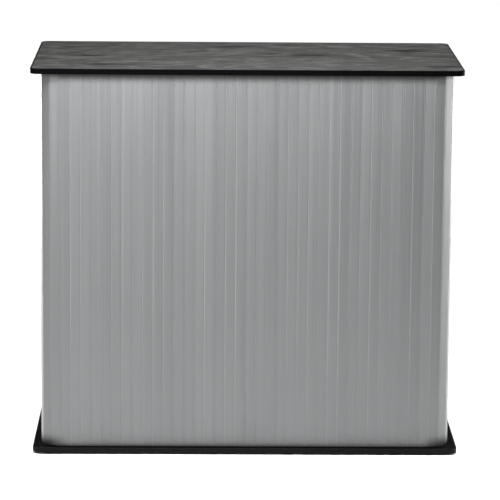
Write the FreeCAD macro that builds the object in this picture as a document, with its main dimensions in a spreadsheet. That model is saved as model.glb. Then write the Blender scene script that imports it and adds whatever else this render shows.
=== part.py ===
"""Promotion counter: two thin boards, a wrap of hooked slats between them, and posts that carry the worktop.

Millimetres, +Z up, the origin at the middle of the footprint on the floor. The front faces -Y and the open
back faces +Y. The slats hook into each other along a track with rounded corners, which is traced clockwise
as seen from above, so each slat's outer face is on the left of the track.
"""
import FreeCAD
import Part
import Sketcher
import os

# Driving dimensions

DRIVING_SIZES = {
    "counter_height": 950.0,
    "board_thickness": 13.0,
    "board_corner_radius": 20.0,
    "board_overhang": 19.0,
    "edging_thickness": 2.0,
    "edging_arris": 1.5,
    "arris_share": 0.75,
    "laminate_thickness": 0.8,
    "groove_depth": 5.0,
    "groove_gap": 0.5,
    "slat_pitch": 25.0,
    "slat_thickness": 8.0,
    "slat_wall": 1.2,
    "front_slats": 36,
    "side_slats": 15,
    "return_slats": 2,
    "corner_slats": 3,
    "corner_turn": 30.0,
    "hinge_setback": 2.2,
    "bead_radius": 2.5,
    "bead_gap": 0.15,
    "face_start": 1.6,
    "neck_thickness": 1.6,
    "lip_thickness": 1.2,
    "lip_angle": 70.0,
    "slat_shoulder": 3.4,
    "stile_width": 20.5,
    "stile_wall": 2.5,
    "stile_nose_radius": 4.0,
    "stile_cover": 9.0,
    "stile_top_gap": 0.5,
    "pin_radius": 3.0,
    "pin_depth": 18.0,
    "foot_height": 4.0,
    "foot_radius": 18.0,
    "foot_inset": 55.0,
    "foot_recess": 0.8,
    "foot_chamfer": 1.0,
    "post_radius": 14.0,
    "post_wall": 1.6,
    "sleeve_radius": 20.0,
    "sleeve_height": 34.0,
    "sleeve_gap": 0.1,
    "socket_floor": 3.0,
    "flange_radius": 30.0,
    "flange_thickness": 3.0,
    "cap_flange": 3.0,
    "cap_depth": 26.0,
    "peg_radius": 8.0,
    "peg_length": 30.0,
    "peg_chamfer": 1.5,
    "peg_rest_gap": 0.3,
    "ring_radius": 1.2,
    "ring_drop": 14.0,
    "shelf_height": 480.0,
    "shelf_thickness": 12.0,
    "shelf_gap": 14.0,
    "shelf_hole_gap": 0.75,
    "shelf_edging_thickness": 1.0,
    "screw_circle": 25.0,
    "screw_radius": 2.0,
    "screw_head_radius": 3.8,
    "screw_head_depth": 1.8,
    "screw_length": 11.0,
    "screws_per_flange": 3,
    "knob_radius": 13.0,
    "knob_length": 12.0,
    "knob_drop": 21.0,
    "knob_collar_gap": 2.0,
    "knob_shank_radius": 3.0,
    "knob_tip_gap": 0.3,
    "knob_flute_radius": 3.5,
    "knob_flute_depth": 1.4,
    "knob_flutes": 8,
}

doc = FreeCAD.newDocument("promotion_counter")
sheet = doc.addObject("Spreadsheet::Sheet", "sizes")
for row, (alias, size) in enumerate(DRIVING_SIZES.items(), start=1):
    sheet.set(f"A{row}", alias)
    sheet.set(f"B{row}", str(size))
    sheet.setAlias(f"B{row}", alias)
doc.recompute()

# Sizes that follow from the driving ones, as expressions

HALF_TURN = "(sizes.corner_turn * 0.5 * 1 deg)"
TRACK_RADIUS = f"(sizes.slat_pitch / (2 * sin({HALF_TURN})))"
STRAIGHT_X = "(sizes.front_slats * sizes.slat_pitch)"
STRAIGHT_Y = "(sizes.side_slats * sizes.slat_pitch)"
TRACK_LENGTH = f"({STRAIGHT_X} + 2 * {TRACK_RADIUS})"
TRACK_DEPTH = f"({STRAIGHT_Y} + 2 * {TRACK_RADIUS})"
SLAT_INSIDE = "(sizes.slat_thickness - sizes.hinge_setback)"
SOCKET_RADIUS = "(sizes.bead_radius + sizes.bead_gap)"

EDGE_REACH = "(sizes.bead_radius + sizes.board_overhang)"
BOARD_LENGTH = f"({TRACK_LENGTH} + 2 * {EDGE_REACH})"
BOARD_DEPTH = f"({TRACK_DEPTH} + 2 * {EDGE_REACH})"
GROOVE_OUTSIDE = "(sizes.bead_radius + sizes.groove_gap)"
CHORD_DIP = f"({TRACK_RADIUS} * (1 - cos({HALF_TURN})))"
GROOVE_INSIDE = f"({SLAT_INSIDE} + {CHORD_DIP} + sizes.groove_gap)"

BASE_TOP = "(sizes.foot_height + sizes.board_thickness)"
WORKTOP_UNDERSIDE = "(sizes.counter_height - sizes.board_thickness)"
SLAT_BOTTOM = f"({BASE_TOP} - sizes.groove_depth + sizes.groove_gap)"
SLAT_LENGTH = f"({WORKTOP_UNDERSIDE} + sizes.groove_depth - sizes.groove_gap - {SLAT_BOTTOM})"

POST_BOTTOM = f"({BASE_TOP} + sizes.socket_floor)"
PEG_FLANGE_UNDERSIDE = f"({WORKTOP_UNDERSIDE} - sizes.flange_thickness)"
POST_TOP = f"({PEG_FLANGE_UNDERSIDE} - sizes.peg_rest_gap - sizes.cap_flange)"
SHELF_UNDERSIDE = "(sizes.shelf_height - sizes.shelf_thickness)"
SHELF_LENGTH = f"({TRACK_LENGTH} - 2 * sizes.shelf_gap)"
SHELF_DEPTH = f"({TRACK_DEPTH} - 2 * sizes.shelf_gap)"
SHELF_CORNER = f"({TRACK_RADIUS} - sizes.shelf_gap)"
BORE_RADIUS = "(sizes.post_radius + sizes.sleeve_gap)"

SIDES = {"left": -1, "right": 1}
ENDS = {"front": -1, "rear": 1}
CORNERS = [(end, side) for end in ENDS for side in SIDES]
Z_AXIS = FreeCAD.Vector(0, 0, 1)
SAME_PLACE = 0.01

sub_parts = []


def number(expression):
    """The plain number that an expression of sheet cells works out to."""
    result = sheet.evalExpression(expression)
    return float(getattr(result, "Value", result))


def signed(sign, expression):
    """An expression with a minus sign in front of it where sign is negative."""
    return expression if sign > 0 else f"-({expression})"


def new_body(label):
    """An empty sub-part, which may hold several separate solids."""
    body = doc.addObject("PartDesign::Body", label)
    body.Label = label
    body.AllowCompound = True
    sub_parts.append(body)
    return body


def place(body, x="0", y="0", z="0", turn=0.0, axis=Z_AXIS):
    """Puts a sub-part at a point given by expressions, turned about one axis."""
    body.Placement = FreeCAD.Placement(FreeCAD.Vector(), FreeCAD.Rotation(axis, turn))
    for name, expression in (("x", x), ("y", y), ("z", z)):
        body.setExpression(f"Placement.Base.{name}", expression)


def origin_feature(body, role):
    """One of the sub-part's own planes or axes."""
    return next(feature for feature in body.Origin.OriginFeatures if feature.Role == role)


def new_sketch(body, name, plane="XY_Plane", lift="0"):
    """A sketch on one of the sub-part's planes, lifted along the plane's normal."""
    sketch = body.newObject("Sketcher::SketchObject", f"{body.Label}_{name}")
    sketch.AttachmentSupport = (origin_feature(body, plane), [""])
    sketch.MapMode = "FlatFace"
    sketch.setExpression("AttachmentOffset.Base.z", lift)
    return sketch


def bind(sketch, kind, *operands, size):
    """Adds a dimension to a sketch and binds it to an expression."""
    index = sketch.addConstraint(Sketcher.Constraint(kind, *operands, abs(number(size))))
    name = f"size_{index}"
    sketch.renameConstraint(index, name)
    sketch.setExpression(f"Constraints.{name}", size)


def hold(sketch, kind, *operands):
    """Adds a constraint that has no dimension."""
    sketch.addConstraint(Sketcher.Constraint(kind, *operands))


def fix_point(sketch, geometry, point, x=None, y=None, sign_x=1, sign_y=1):
    """Dimensions a point from the sketch's origin, on the side that each sign gives."""
    origin = (-1, 1)
    for kind, size, sign in (("DistanceX", x, sign_x), ("DistanceY", y, sign_y)):
        if size is not None:
            ends = (*origin, geometry, point) if sign > 0 else (geometry, point, *origin)
            bind(sketch, kind, *ends, size=size)


def vector(x, y):
    return FreeCAD.Vector(x, y, 0)


def draw_line(sketch, start, end):
    return sketch.addGeometry(Part.LineSegment(vector(*start), vector(*end)))


def draw_arc(sketch, centre, radius, start_angle, end_angle):
    """An arc from one angle to another, counter-clockwise, in degrees."""
    circle = Part.Circle(vector(*centre), Z_AXIS, radius)
    turn = FreeCAD.Units.Quantity("1 deg").getValueAs("rad").Value
    return sketch.addGeometry(Part.ArcOfCircle(circle, start_angle * turn, end_angle * turn))


def draw_circle(sketch, radius, x=None, y=None, sign_x=1, sign_y=1):
    """A circle about the sketch's origin, or about a point dimensioned from it."""
    start_x = sign_x * number(x) if x else 0.0
    start_y = sign_y * number(y) if y else 0.0
    circle = Part.Circle(vector(start_x, start_y), Z_AXIS, number(radius))
    geometry = sketch.addGeometry(circle)
    if x is None and y is None:
        hold(sketch, "Coincident", geometry, 3, -1, 1)
    else:
        fix_point(sketch, geometry, 3, x, y, sign_x, sign_y)
    bind(sketch, "Radius", geometry, size=radius)


def draw_rectangle(sketch, left, right, bottom, top, signs):
    """A rectangle whose four sides are dimensioned from the origin, each with its own sign."""
    sizes = [left, right, bottom, top]
    x0, x1, y0, y1 = [sign * number(size) for sign, size in zip(signs, sizes)]
    corners = [(x0, y0), (x1, y0), (x1, y1), (x0, y1)]
    lines = [draw_line(sketch, corners[i], corners[(i + 1) % 4]) for i in range(4)]
    for i in range(4):
        hold(sketch, "Coincident", lines[i], 2, lines[(i + 1) % 4], 1)
        hold(sketch, "Vertical" if i % 2 else "Horizontal", lines[i])
    fix_point(sketch, lines[0], 1, left, bottom, signs[0], signs[2])
    fix_point(sketch, lines[2], 1, right, top, signs[1], signs[3])


def draw_rounded_rectangle(sketch, length, depth, radius):
    """A rectangle with round corners, centred on the sketch's origin."""
    half_x = number(length) / 2
    half_y = number(depth) / 2
    r = number(radius)
    outline = [
        draw_line(sketch, (r - half_x, -half_y), (half_x - r, -half_y)),
        draw_arc(sketch, (half_x - r, r - half_y), r, -90, 0),
        draw_line(sketch, (half_x, r - half_y), (half_x, half_y - r)),
        draw_arc(sketch, (half_x - r, half_y - r), r, 0, 90),
        draw_line(sketch, (half_x - r, half_y), (r - half_x, half_y)),
        draw_arc(sketch, (r - half_x, half_y - r), r, 90, 180),
        draw_line(sketch, (-half_x, half_y - r), (-half_x, r - half_y)),
        draw_arc(sketch, (r - half_x, r - half_y), r, 180, 270),
    ]
    front, _, right, _, rear, _, left, _ = outline
    for i, edge in enumerate(outline):
        hold(sketch, "Tangent", edge, 2, outline[(i + 1) % len(outline)], 1)
    hold(sketch, "Horizontal", front)
    hold(sketch, "Horizontal", rear)
    hold(sketch, "Vertical", left)
    hold(sketch, "Vertical", right)
    for arc in outline[3::2]:
        hold(sketch, "Equal", outline[1], arc)
    hold(sketch, "Symmetric", front, 1, rear, 1, -1, 1)
    bind(sketch, "Radius", outline[1], size=radius)
    bind(sketch, "DistanceX", left, 1, right, 1, size=length)
    bind(sketch, "DistanceY", front, 1, rear, 1, size=depth)


def draw_half_profile(sketch, corners):
    """A closed outline of straight lines beside the sketch's vertical axis, for a turned piece.

    Each corner is a pair of expressions, the distance from the axis and the height above the origin.
    """
    points = [(number(radius), number(height)) for radius, height in corners]
    count = len(points)
    lines = [draw_line(sketch, points[i], points[(i + 1) % count]) for i in range(count)]
    for i, (radius, height) in enumerate(corners):
        hold(sketch, "Coincident", lines[i - 1], 2, lines[i], 1)
        above = 1 if points[i][1] >= 0 else -1
        fix_point(sketch, lines[i], 1, radius, height if above > 0 else f"-({height})", 1, above)


def volume(body):
    """The sub-part's volume so far, none before its first feature."""
    return 0.0 if body.Shape.isNull() else body.Shape.Volume


def extrude(body, kind, sketch, name, length, backwards=False):
    """A pad or a pocket of a sketch, checked to have changed the solid."""
    before = volume(body)
    feature = body.newObject(f"PartDesign::{kind}", f"{body.Label}_{name}")
    feature.Profile = sketch
    feature.setExpression("Length", length)
    feature.Reversed = backwards
    doc.recompute()
    check_change(feature, before, kind == "Pad")
    return feature


def turn_about(body, kind, sketch, name):
    """A turned solid or a turned cut, about the sketch's vertical axis."""
    before = volume(body)
    feature = body.newObject(f"PartDesign::{kind}", f"{body.Label}_{name}")
    feature.Profile = sketch
    feature.ReferenceAxis = (sketch, ["V_Axis"])
    feature.Angle = 360
    doc.recompute()
    check_change(feature, before, kind == "Revolution")
    return feature


def check_change(feature, before, grows):
    after = feature.Shape.Volume
    if grows != (after > before) or after == before:
        raise RuntimeError(f"{feature.Label} changed the volume from {before:.1f} to {after:.1f}")


def finish_pattern(body, pattern, originals):
    pattern.Originals = originals
    body.Tip = pattern
    doc.recompute()


def repeat_round(body, feature, count, angle="360", backwards=False):
    """Repeats a feature about the sub-part's own upright axis."""
    pattern = body.newObject("PartDesign::PolarPattern", f"{body.Label}_round")
    pattern.Axis = (origin_feature(body, "Z_Axis"), [""])
    pattern.setExpression("Angle", angle)
    pattern.setExpression("Occurrences", count)
    pattern.Reversed = backwards
    finish_pattern(body, pattern, [feature])


def row_along(body, axis, reach, count):
    """A row of copies along one of the sub-part's own axes, from the first to the last."""
    pattern = body.newObject("PartDesign::LinearPattern", f"{body.Label}_row_{axis[0].lower()}")
    pattern.Direction = (origin_feature(body, axis), [""])
    pattern.setExpression("Length", reach)
    pattern.setExpression("Occurrences", count)
    return pattern


def repeat_at_corners(body, feature, reach_x, reach_y, around=None):
    """Repeats a feature at the four corners of a rectangle, in a ring of its own at each where asked."""
    steps = []
    if around:
        ring = body.newObject("PartDesign::PolarPattern", f"{body.Label}_ring")
        ring.Axis = (origin_feature(body, "Z_Axis"), [""])
        ring.Angle = 360
        ring.setExpression("Occurrences", around)
        steps.append(ring)
    steps.append(row_along(body, "X_Axis", reach_x, "2"))
    steps.append(row_along(body, "Y_Axis", reach_y, "2"))
    pattern = body.newObject("PartDesign::MultiTransform", f"{body.Label}_corners")
    pattern.Transformations = steps
    finish_pattern(body, pattern, [feature])


# Boards and their edging

def board(label, thickness, groove_from_top):
    """A board core with the slats' groove round it, in its top or in its underside."""
    body = new_body(label)
    outline = new_sketch(body, "outline")
    inset = "2 * sizes.edging_thickness"
    draw_rounded_rectangle(outline, f"{BOARD_LENGTH} - {inset}", f"{BOARD_DEPTH} - {inset}",
                           "sizes.board_corner_radius - sizes.edging_thickness")
    extrude(body, "Pad", outline, "slab", thickness)
    groove = new_sketch(body, "groove", lift=thickness if groove_from_top else "0")
    for offset, sign in ((GROOVE_OUTSIDE, "+"), (GROOVE_INSIDE, "-")):
        draw_rounded_rectangle(groove, f"{TRACK_LENGTH} {sign} 2 * {offset}",
                               f"{TRACK_DEPTH} {sign} 2 * {offset}", f"{TRACK_RADIUS} {sign} {offset}")
    extrude(body, "Pocket", groove, "slat_groove", "sizes.groove_depth", backwards=not groove_from_top)
    return body


def drill_flange_holes(body, surface, from_top):
    """Pilot holes for the flange screws at the four posts."""
    pilots = new_sketch(body, "flange_pilots", lift=surface)
    for end, side in CORNERS:
        for turn in range(int(number("sizes.screws_per_flange"))):
            angle = f"({turn} * 360 / sizes.screws_per_flange * 1 deg)"
            draw_circle(pilots, "sizes.screw_radius",
                        f"{STRAIGHT_X} / 2 + {SIDES[side]} * sizes.screw_circle * cos({angle})",
                        f"{STRAIGHT_Y} / 2 + {ENDS[end]} * sizes.screw_circle * sin({angle})",
                        SIDES[side], ENDS[end])
    depth = "sizes.screw_length - sizes.flange_thickness"
    extrude(body, "Pocket", pilots, "flange_pilots", depth, backwards=not from_top)


def edging(label, length, depth, radius, thickness, width):
    """A strip round a board's edge with both outer arrises rounded."""
    body = new_body(label)
    outline = new_sketch(body, "outline")
    draw_rounded_rectangle(outline, length, depth, radius)
    draw_rounded_rectangle(outline, f"{length} - 2 * {width}", f"{depth} - 2 * {width}", f"{radius} - {width}")
    strip = extrude(body, "Pad", outline, "strip", thickness)
    middle = number(thickness) / 2
    reach_x = (number(length) - number(width)) / 2
    reach_y = (number(depth) - number(width)) / 2
    corner_x = number(length) / 2 - number(radius)
    corner_y = number(depth) / 2 - number(radius)
    outer_edges = []
    for index, edge in enumerate(strip.Shape.Edges, start=1):
        centre = edge.BoundBox.Center
        flat = edge.BoundBox.ZLength < middle
        beyond = abs(centre.x) > reach_x or abs(centre.y) > reach_y
        if isinstance(edge.Curve, Part.Circle):
            beyond = edge.Curve.Radius > number(radius) - number(width) / 2
        elif abs(centre.x) > corner_x and abs(centre.y) > corner_y:
            beyond = False
        if flat and beyond:
            outer_edges.append(f"Edge{index}")
    arris = body.newObject("PartDesign::Fillet", f"{label}_arris")
    arris.Base = (strip, outer_edges)
    arris.setExpression("Radius", f"min(sizes.edging_arris; {width} * sizes.arris_share)")
    doc.recompute()
    check_change(arris, strip.Shape.Volume, grows=False)
    return body


FULL_EDGING = (BOARD_LENGTH, BOARD_DEPTH, "sizes.board_corner_radius", "sizes.board_thickness",
               "sizes.edging_thickness")

base_board = board("base_board", "sizes.board_thickness", groove_from_top=True)
drill_flange_holes(base_board, "sizes.board_thickness", from_top=True)
FOOT_X = f"({BOARD_LENGTH} / 2 - sizes.foot_inset)"
FOOT_Y = f"({BOARD_DEPTH} / 2 - sizes.foot_inset)"
foot_pilots = new_sketch(base_board, "foot_pilots")
for end, side in CORNERS:
    draw_circle(foot_pilots, "sizes.screw_radius", FOOT_X, FOOT_Y, SIDES[side], ENDS[end])
extrude(base_board, "Pocket", foot_pilots, "foot_pilots",
        "sizes.screw_length - sizes.foot_height + sizes.foot_recess", backwards=True)
place(base_board, z="sizes.foot_height")
place(edging("base_edging", *FULL_EDGING), z="sizes.foot_height")

WORKTOP_CORE = "(sizes.board_thickness - sizes.laminate_thickness)"
worktop_board = board("worktop_board", WORKTOP_CORE, groove_from_top=False)
drill_flange_holes(worktop_board, "0", from_top=False)
place(worktop_board, z=WORKTOP_UNDERSIDE)
place(edging("worktop_edging", *FULL_EDGING), z=WORKTOP_UNDERSIDE)

worktop_laminate = new_body("worktop_laminate")
laminate_outline = new_sketch(worktop_laminate, "outline")
draw_rounded_rectangle(laminate_outline, f"{BOARD_LENGTH} - 2 * sizes.edging_thickness",
                       f"{BOARD_DEPTH} - 2 * sizes.edging_thickness",
                       "sizes.board_corner_radius - sizes.edging_thickness")
extrude(worktop_laminate, "Pad", laminate_outline, "sheet", "sizes.laminate_thickness")
place(worktop_laminate, z=f"{WORKTOP_UNDERSIDE} + {WORKTOP_CORE}")


# Wrap of hooked slats

def draw_slat(sketch):
    """A slat's section: a hollow box with a round bead on one edge and a hook for the next bead.

    The sketch's origin is the centre of the slat's own bead, its X axis runs along the track to the next
    bead, and its Y axis points out of the counter.
    """
    pitch = number("sizes.slat_pitch")
    face = number("sizes.hinge_setback")
    inside = number(SLAT_INSIDE)
    bead = number("sizes.bead_radius")
    socket = number(SOCKET_RADIUS)
    hook = socket + number("sizes.lip_thickness")
    neck = number("sizes.neck_thickness") / 2
    shoulder = number("sizes.slat_shoulder")
    root = (bead ** 2 - neck ** 2) ** 0.5
    face_start = number("sizes.face_start")
    face_root = (bead ** 2 - face_start ** 2) ** 0.5
    mouth = (socket ** 2 - face ** 2) ** 0.5
    lip = 360 - number("sizes.lip_angle")
    lip_x, lip_y = FreeCAD.Rotation(Z_AXIS, lip).multVec(FreeCAD.Vector(1, 0, 0))[:2]
    hook_start = FreeCAD.Vector(-shoulder, -(hook ** 2 - shoulder ** 2) ** 0.5, 0)
    degrees = FreeCAD.Units.Quantity("1 rad").getValueAs("deg").Value
    x_axis = FreeCAD.Vector(1, 0, 0)
    mouth_angle = vector(-mouth, face).getAngle(x_axis) * degrees
    hook_angle = 360 - hook_start.getAngle(x_axis) * degrees
    root_angle = vector(root, neck).getAngle(x_axis) * degrees
    face_angle = vector(face_start, face_root).getAngle(x_axis) * degrees

    outer_face = draw_line(sketch, (face_start, face), (pitch - mouth, face))
    socket_arc = draw_arc(sketch, (pitch, 0), socket, mouth_angle, lip)
    lip_end = draw_line(sketch, (pitch + socket * lip_x, socket * lip_y), (pitch + hook * lip_x, hook * lip_y))
    hook_arc = draw_arc(sketch, (pitch, 0), hook, hook_angle, lip)
    hook_side = draw_line(sketch, (pitch - shoulder, hook_start.y), (pitch - shoulder, -inside))
    inner_face = draw_line(sketch, (pitch - shoulder, -inside), (shoulder, -inside))
    bead_side = draw_line(sketch, (shoulder, -inside), (shoulder, -neck))
    neck_inside = draw_line(sketch, (shoulder, -neck), (root, -neck))
    bead_arc = draw_arc(sketch, (0, 0), bead, face_angle, 360 - root_angle)
    face_side = draw_line(sketch, (face_start, face_root), (face_start, face))

    joins = [
        (face_side, 2, outer_face, 1), (outer_face, 2, socket_arc, 1), (socket_arc, 2, lip_end, 1),
        (lip_end, 2, hook_arc, 2), (hook_arc, 1, hook_side, 1), (hook_side, 2, inner_face, 1),
        (inner_face, 2, bead_side, 1), (bead_side, 2, neck_inside, 1), (neck_inside, 2, bead_arc, 2),
        (bead_arc, 1, face_side, 1),
    ]
    for join in joins:
        hold(sketch, "Coincident", *join)
    for line in (outer_face, inner_face, neck_inside):
        hold(sketch, "Horizontal", line)
    for line in (hook_side, bead_side, face_side):
        hold(sketch, "Vertical", line)
    hold(sketch, "Coincident", bead_arc, 3, -1, 1)
    hold(sketch, "PointOnObject", socket_arc, 3, -1)
    hold(sketch, "Coincident", hook_arc, 3, socket_arc, 3)
    hold(sketch, "PointOnObject", socket_arc, 3, lip_end)
    bind(sketch, "DistanceX", -1, 1, socket_arc, 3, size="sizes.slat_pitch")
    bind(sketch, "Radius", bead_arc, size="sizes.bead_radius")
    bind(sketch, "Radius", socket_arc, size=SOCKET_RADIUS)
    bind(sketch, "Radius", hook_arc, size=f"{SOCKET_RADIUS} + sizes.lip_thickness")
    fix_point(sketch, bead_arc, 1, x="sizes.face_start")
    fix_point(sketch, bead_arc, 2, y="sizes.neck_thickness / 2", sign_y=-1)
    fix_point(sketch, outer_face, 1, y="sizes.hinge_setback")
    fix_point(sketch, bead_side, 1, "sizes.slat_shoulder", SLAT_INSIDE, sign_y=-1)
    fix_point(sketch, hook_side, 2, "sizes.slat_pitch - sizes.slat_shoulder")
    fix_point(sketch, socket_arc, 2, f"sizes.slat_pitch + {SOCKET_RADIUS} * cos(sizes.lip_angle * 1 deg)")

    chamber_edge = "(sizes.slat_shoulder + sizes.slat_wall)"
    draw_rectangle(sketch, chamber_edge, f"sizes.slat_pitch - {chamber_edge}",
                   f"{SLAT_INSIDE} - sizes.slat_wall", "sizes.hinge_setback - sizes.slat_wall", (1, 1, -1, 1))


def straight_run(label, count, x, y, turn):
    """A straight row of slats that starts at a point and runs the way that turn gives."""
    body = new_body(label)
    section = new_sketch(body, "section")
    draw_slat(section)
    slat = extrude(body, "Pad", section, "slat", SLAT_LENGTH)
    row = row_along(body, "X_Axis", f"({count} - 1) * sizes.slat_pitch", count)
    finish_pattern(body, row, [slat])
    place(body, x, y, SLAT_BOTTOM, turn)


def corner_run(label, x, y, turn):
    """The slats that turn a corner, each with its beads on the track's arc."""
    body = new_body(label)
    section = new_sketch(body, "section")
    half_turn = number("sizes.corner_turn") / 2
    section.AttachmentOffset = FreeCAD.Placement(FreeCAD.Vector(), FreeCAD.Rotation(Z_AXIS, -half_turn))
    section.setExpression("AttachmentOffset.Base.y", TRACK_RADIUS)
    draw_slat(section)
    slat = extrude(body, "Pad", section, "slat", SLAT_LENGTH)
    sweep = "(sizes.corner_slats - 1) * sizes.corner_turn"
    repeat_round(body, slat, "sizes.corner_slats", sweep, backwards=True)
    place(body, x, y, SLAT_BOTTOM, turn)


HALF_X = f"{STRAIGHT_X} / 2"
HALF_Y = f"{STRAIGHT_Y} / 2"
RETURN = "sizes.return_slats * sizes.slat_pitch"
straight_run("tambour_right_return", "sizes.return_slats", f"{HALF_X} - {RETURN}", f"{TRACK_DEPTH} / 2", 0)
corner_run("tambour_rear_right_corner", HALF_X, HALF_Y, 0)
straight_run("tambour_right_side", "sizes.side_slats", f"{TRACK_LENGTH} / 2", HALF_Y, -90)
corner_run("tambour_front_right_corner", HALF_X, f"-{HALF_Y}", -90)
straight_run("tambour_front", "sizes.front_slats", HALF_X, f"-{TRACK_DEPTH} / 2", 180)
corner_run("tambour_front_left_corner", f"-{HALF_X}", f"-{HALF_Y}", 180)
straight_run("tambour_left_side", "sizes.side_slats", f"-{TRACK_LENGTH} / 2", f"-{HALF_Y}", 90)
corner_run("tambour_rear_left_corner", f"-{HALF_X}", HALF_Y, 90)
straight_run("tambour_left_return", "sizes.return_slats", f"-{HALF_X}", f"{TRACK_DEPTH} / 2", 0)


# End stiles at the open back

STILE_EDGE_X = f"({HALF_X} - {RETURN})"
STILE_LENGTH = f"({WORKTOP_UNDERSIDE} - {BASE_TOP} - sizes.stile_top_gap)"
STILE_NOSE = "(sizes.stile_width - sizes.stile_cover)"
SLOT_FLOOR = "sizes.bead_radius"
SLOT_INSIDE = f"({SLAT_INSIDE} + sizes.groove_gap)"
PIN_X = f"({SLOT_FLOOR} + ({STILE_NOSE} - {SLOT_FLOOR}) / 2)"
PIN_Y = f"(({SLAT_INSIDE} - sizes.hinge_setback) / 2)"


def end_stile(label, side):
    """The channel that closes one free edge of the wrap, with a hole for a pin in each end.

    Its origin is on the track at the wrap's free edge, and the channel's mouth faces the wrap.
    """
    body = new_body(label)
    inward = -SIDES[side]
    section = new_sketch(body, "section")
    outside = f"{GROOVE_OUTSIDE} + sizes.stile_wall"
    draw_rectangle(section, "sizes.stile_cover", STILE_NOSE, f"{SLOT_INSIDE} + sizes.stile_wall", outside,
                   (-inward, inward, -1, 1))
    channel = extrude(body, "Pad", section, "bar", STILE_LENGTH)
    nose_x = inward * number(STILE_NOSE)
    nose_edges = [f"Edge{index}" for index, edge in enumerate(channel.Shape.Edges, start=1)
                  if edge.BoundBox.ZLength > SAME_PLACE and abs(edge.BoundBox.Center.x - nose_x) < SAME_PLACE]
    nose = body.newObject("PartDesign::Fillet", f"{label}_nose")
    nose.Base = (channel, nose_edges)
    nose.setExpression("Radius", "sizes.stile_nose_radius")
    doc.recompute()
    slot = new_sketch(body, "slot")
    draw_rectangle(slot, "sizes.stile_cover", SLOT_FLOOR, SLOT_INSIDE, GROOVE_OUTSIDE, (-inward, inward, -1, 1))
    extrude(body, "Pocket", slot, "slot", STILE_LENGTH, backwards=True)
    for name, lift, upward in (("lower", "0", True), ("upper", STILE_LENGTH, False)):
        hole = new_sketch(body, f"{name}_hole", lift=lift)
        draw_circle(hole, "sizes.pin_radius", PIN_X, PIN_Y, inward, -1)
        extrude(body, "Pocket", hole, f"{name}_hole", "sizes.pin_depth", backwards=upward)
    place(body, signed(SIDES[side], STILE_EDGE_X), f"{TRACK_DEPTH} / 2", BASE_TOP)


for side in SIDES:
    end_stile(f"{side}_end_stile", side)

stile_pins = new_body("stile_pins")
PIN_REACH = "(sizes.groove_depth - sizes.groove_gap)"
pin_section = new_sketch(stile_pins, "section")
draw_circle(pin_section, "sizes.pin_radius")
lower_pin = extrude(stile_pins, "Pad", pin_section, "pin", f"sizes.pin_depth + {PIN_REACH}")
pin_rows = row_along(stile_pins, "X_Axis", f"2 * ({STILE_EDGE_X} - {PIN_X})", "2")
pin_levels = row_along(stile_pins, "Z_Axis", f"{STILE_LENGTH} - sizes.pin_depth + {PIN_REACH}", "2")
pin_group = stile_pins.newObject("PartDesign::MultiTransform", "stile_pins_group")
pin_group.Transformations = [pin_rows, pin_levels]
finish_pattern(stile_pins, pin_group, [lower_pin])
place(stile_pins, f"{PIN_X} - {STILE_EDGE_X}", f"{TRACK_DEPTH} / 2 - {PIN_Y}", f"{BASE_TOP} - {PIN_REACH}")


# Screws with countersunk heads

def screw_profile(sketch):
    """Half a countersunk screw, its head's top at the sketch's origin and its tip below."""
    draw_half_profile(sketch, [
        ("0", "0"),
        ("sizes.screw_head_radius", "0"),
        ("sizes.screw_radius", "-sizes.screw_head_depth"),
        ("sizes.screw_radius", "-sizes.screw_length"),
        ("0", "-sizes.screw_length"),
    ])


def flange_screws(label, z, pointing_up):
    """The screws of the four flanges at the posts, three round each."""
    body = new_body(label)
    profile = new_sketch(body, "profile", plane="XZ_Plane")
    profile.setExpression("AttachmentOffset.Base.x", "sizes.screw_circle")
    screw_profile(profile)
    screw = turn_about(body, "Revolution", profile, "screw")
    repeat_at_corners(body, screw, STRAIGHT_X, STRAIGHT_Y, "sizes.screws_per_flange")
    if pointing_up:
        place(body, f"-{HALF_X}", HALF_Y, z, 180, FreeCAD.Vector(1, 0, 0))
    else:
        place(body, f"-{HALF_X}", f"-{HALF_Y}", z)


flange_screws("socket_screws", f"{BASE_TOP} + sizes.flange_thickness", pointing_up=False)
flange_screws("collar_screws", f"{SHELF_UNDERSIDE} - sizes.flange_thickness", pointing_up=True)
flange_screws("peg_screws", PEG_FLANGE_UNDERSIDE, pointing_up=True)

foot_screws = new_body("foot_screws")
foot_screw_profile = new_sketch(foot_screws, "profile", plane="XZ_Plane")
screw_profile(foot_screw_profile)
foot_screw = turn_about(foot_screws, "Revolution", foot_screw_profile, "screw")
repeat_at_corners(foot_screws, foot_screw, f"2 * {FOOT_X}", f"2 * {FOOT_Y}")
place(foot_screws, f"-{FOOT_X}", FOOT_Y, "sizes.foot_recess", 180, FreeCAD.Vector(1, 0, 0))


# Rubber feet

def rubber_foot(label, x, y):
    """A round foot with a bevelled rim and a recess that hides its screw's head."""
    body = new_body(label)
    profile = new_sketch(body, "profile", plane="XZ_Plane")
    head_end = "sizes.foot_recess + sizes.screw_head_depth"
    draw_half_profile(profile, [
        ("sizes.screw_head_radius", "0"),
        ("sizes.foot_radius - sizes.foot_chamfer", "0"),
        ("sizes.foot_radius", "sizes.foot_chamfer"),
        ("sizes.foot_radius", "sizes.foot_height"),
        ("sizes.screw_radius", "sizes.foot_height"),
        ("sizes.screw_radius", head_end),
        ("sizes.screw_head_radius", "sizes.foot_recess"),
    ])
    turn_about(body, "Revolution", profile, "foot")
    place(body, x, y)


for end, side in CORNERS:
    rubber_foot(f"foot_{end}_{side}", signed(SIDES[side], FOOT_X), signed(ENDS[end], FOOT_Y))


# Posts with their sockets and caps, and the worktop's pegs

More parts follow.
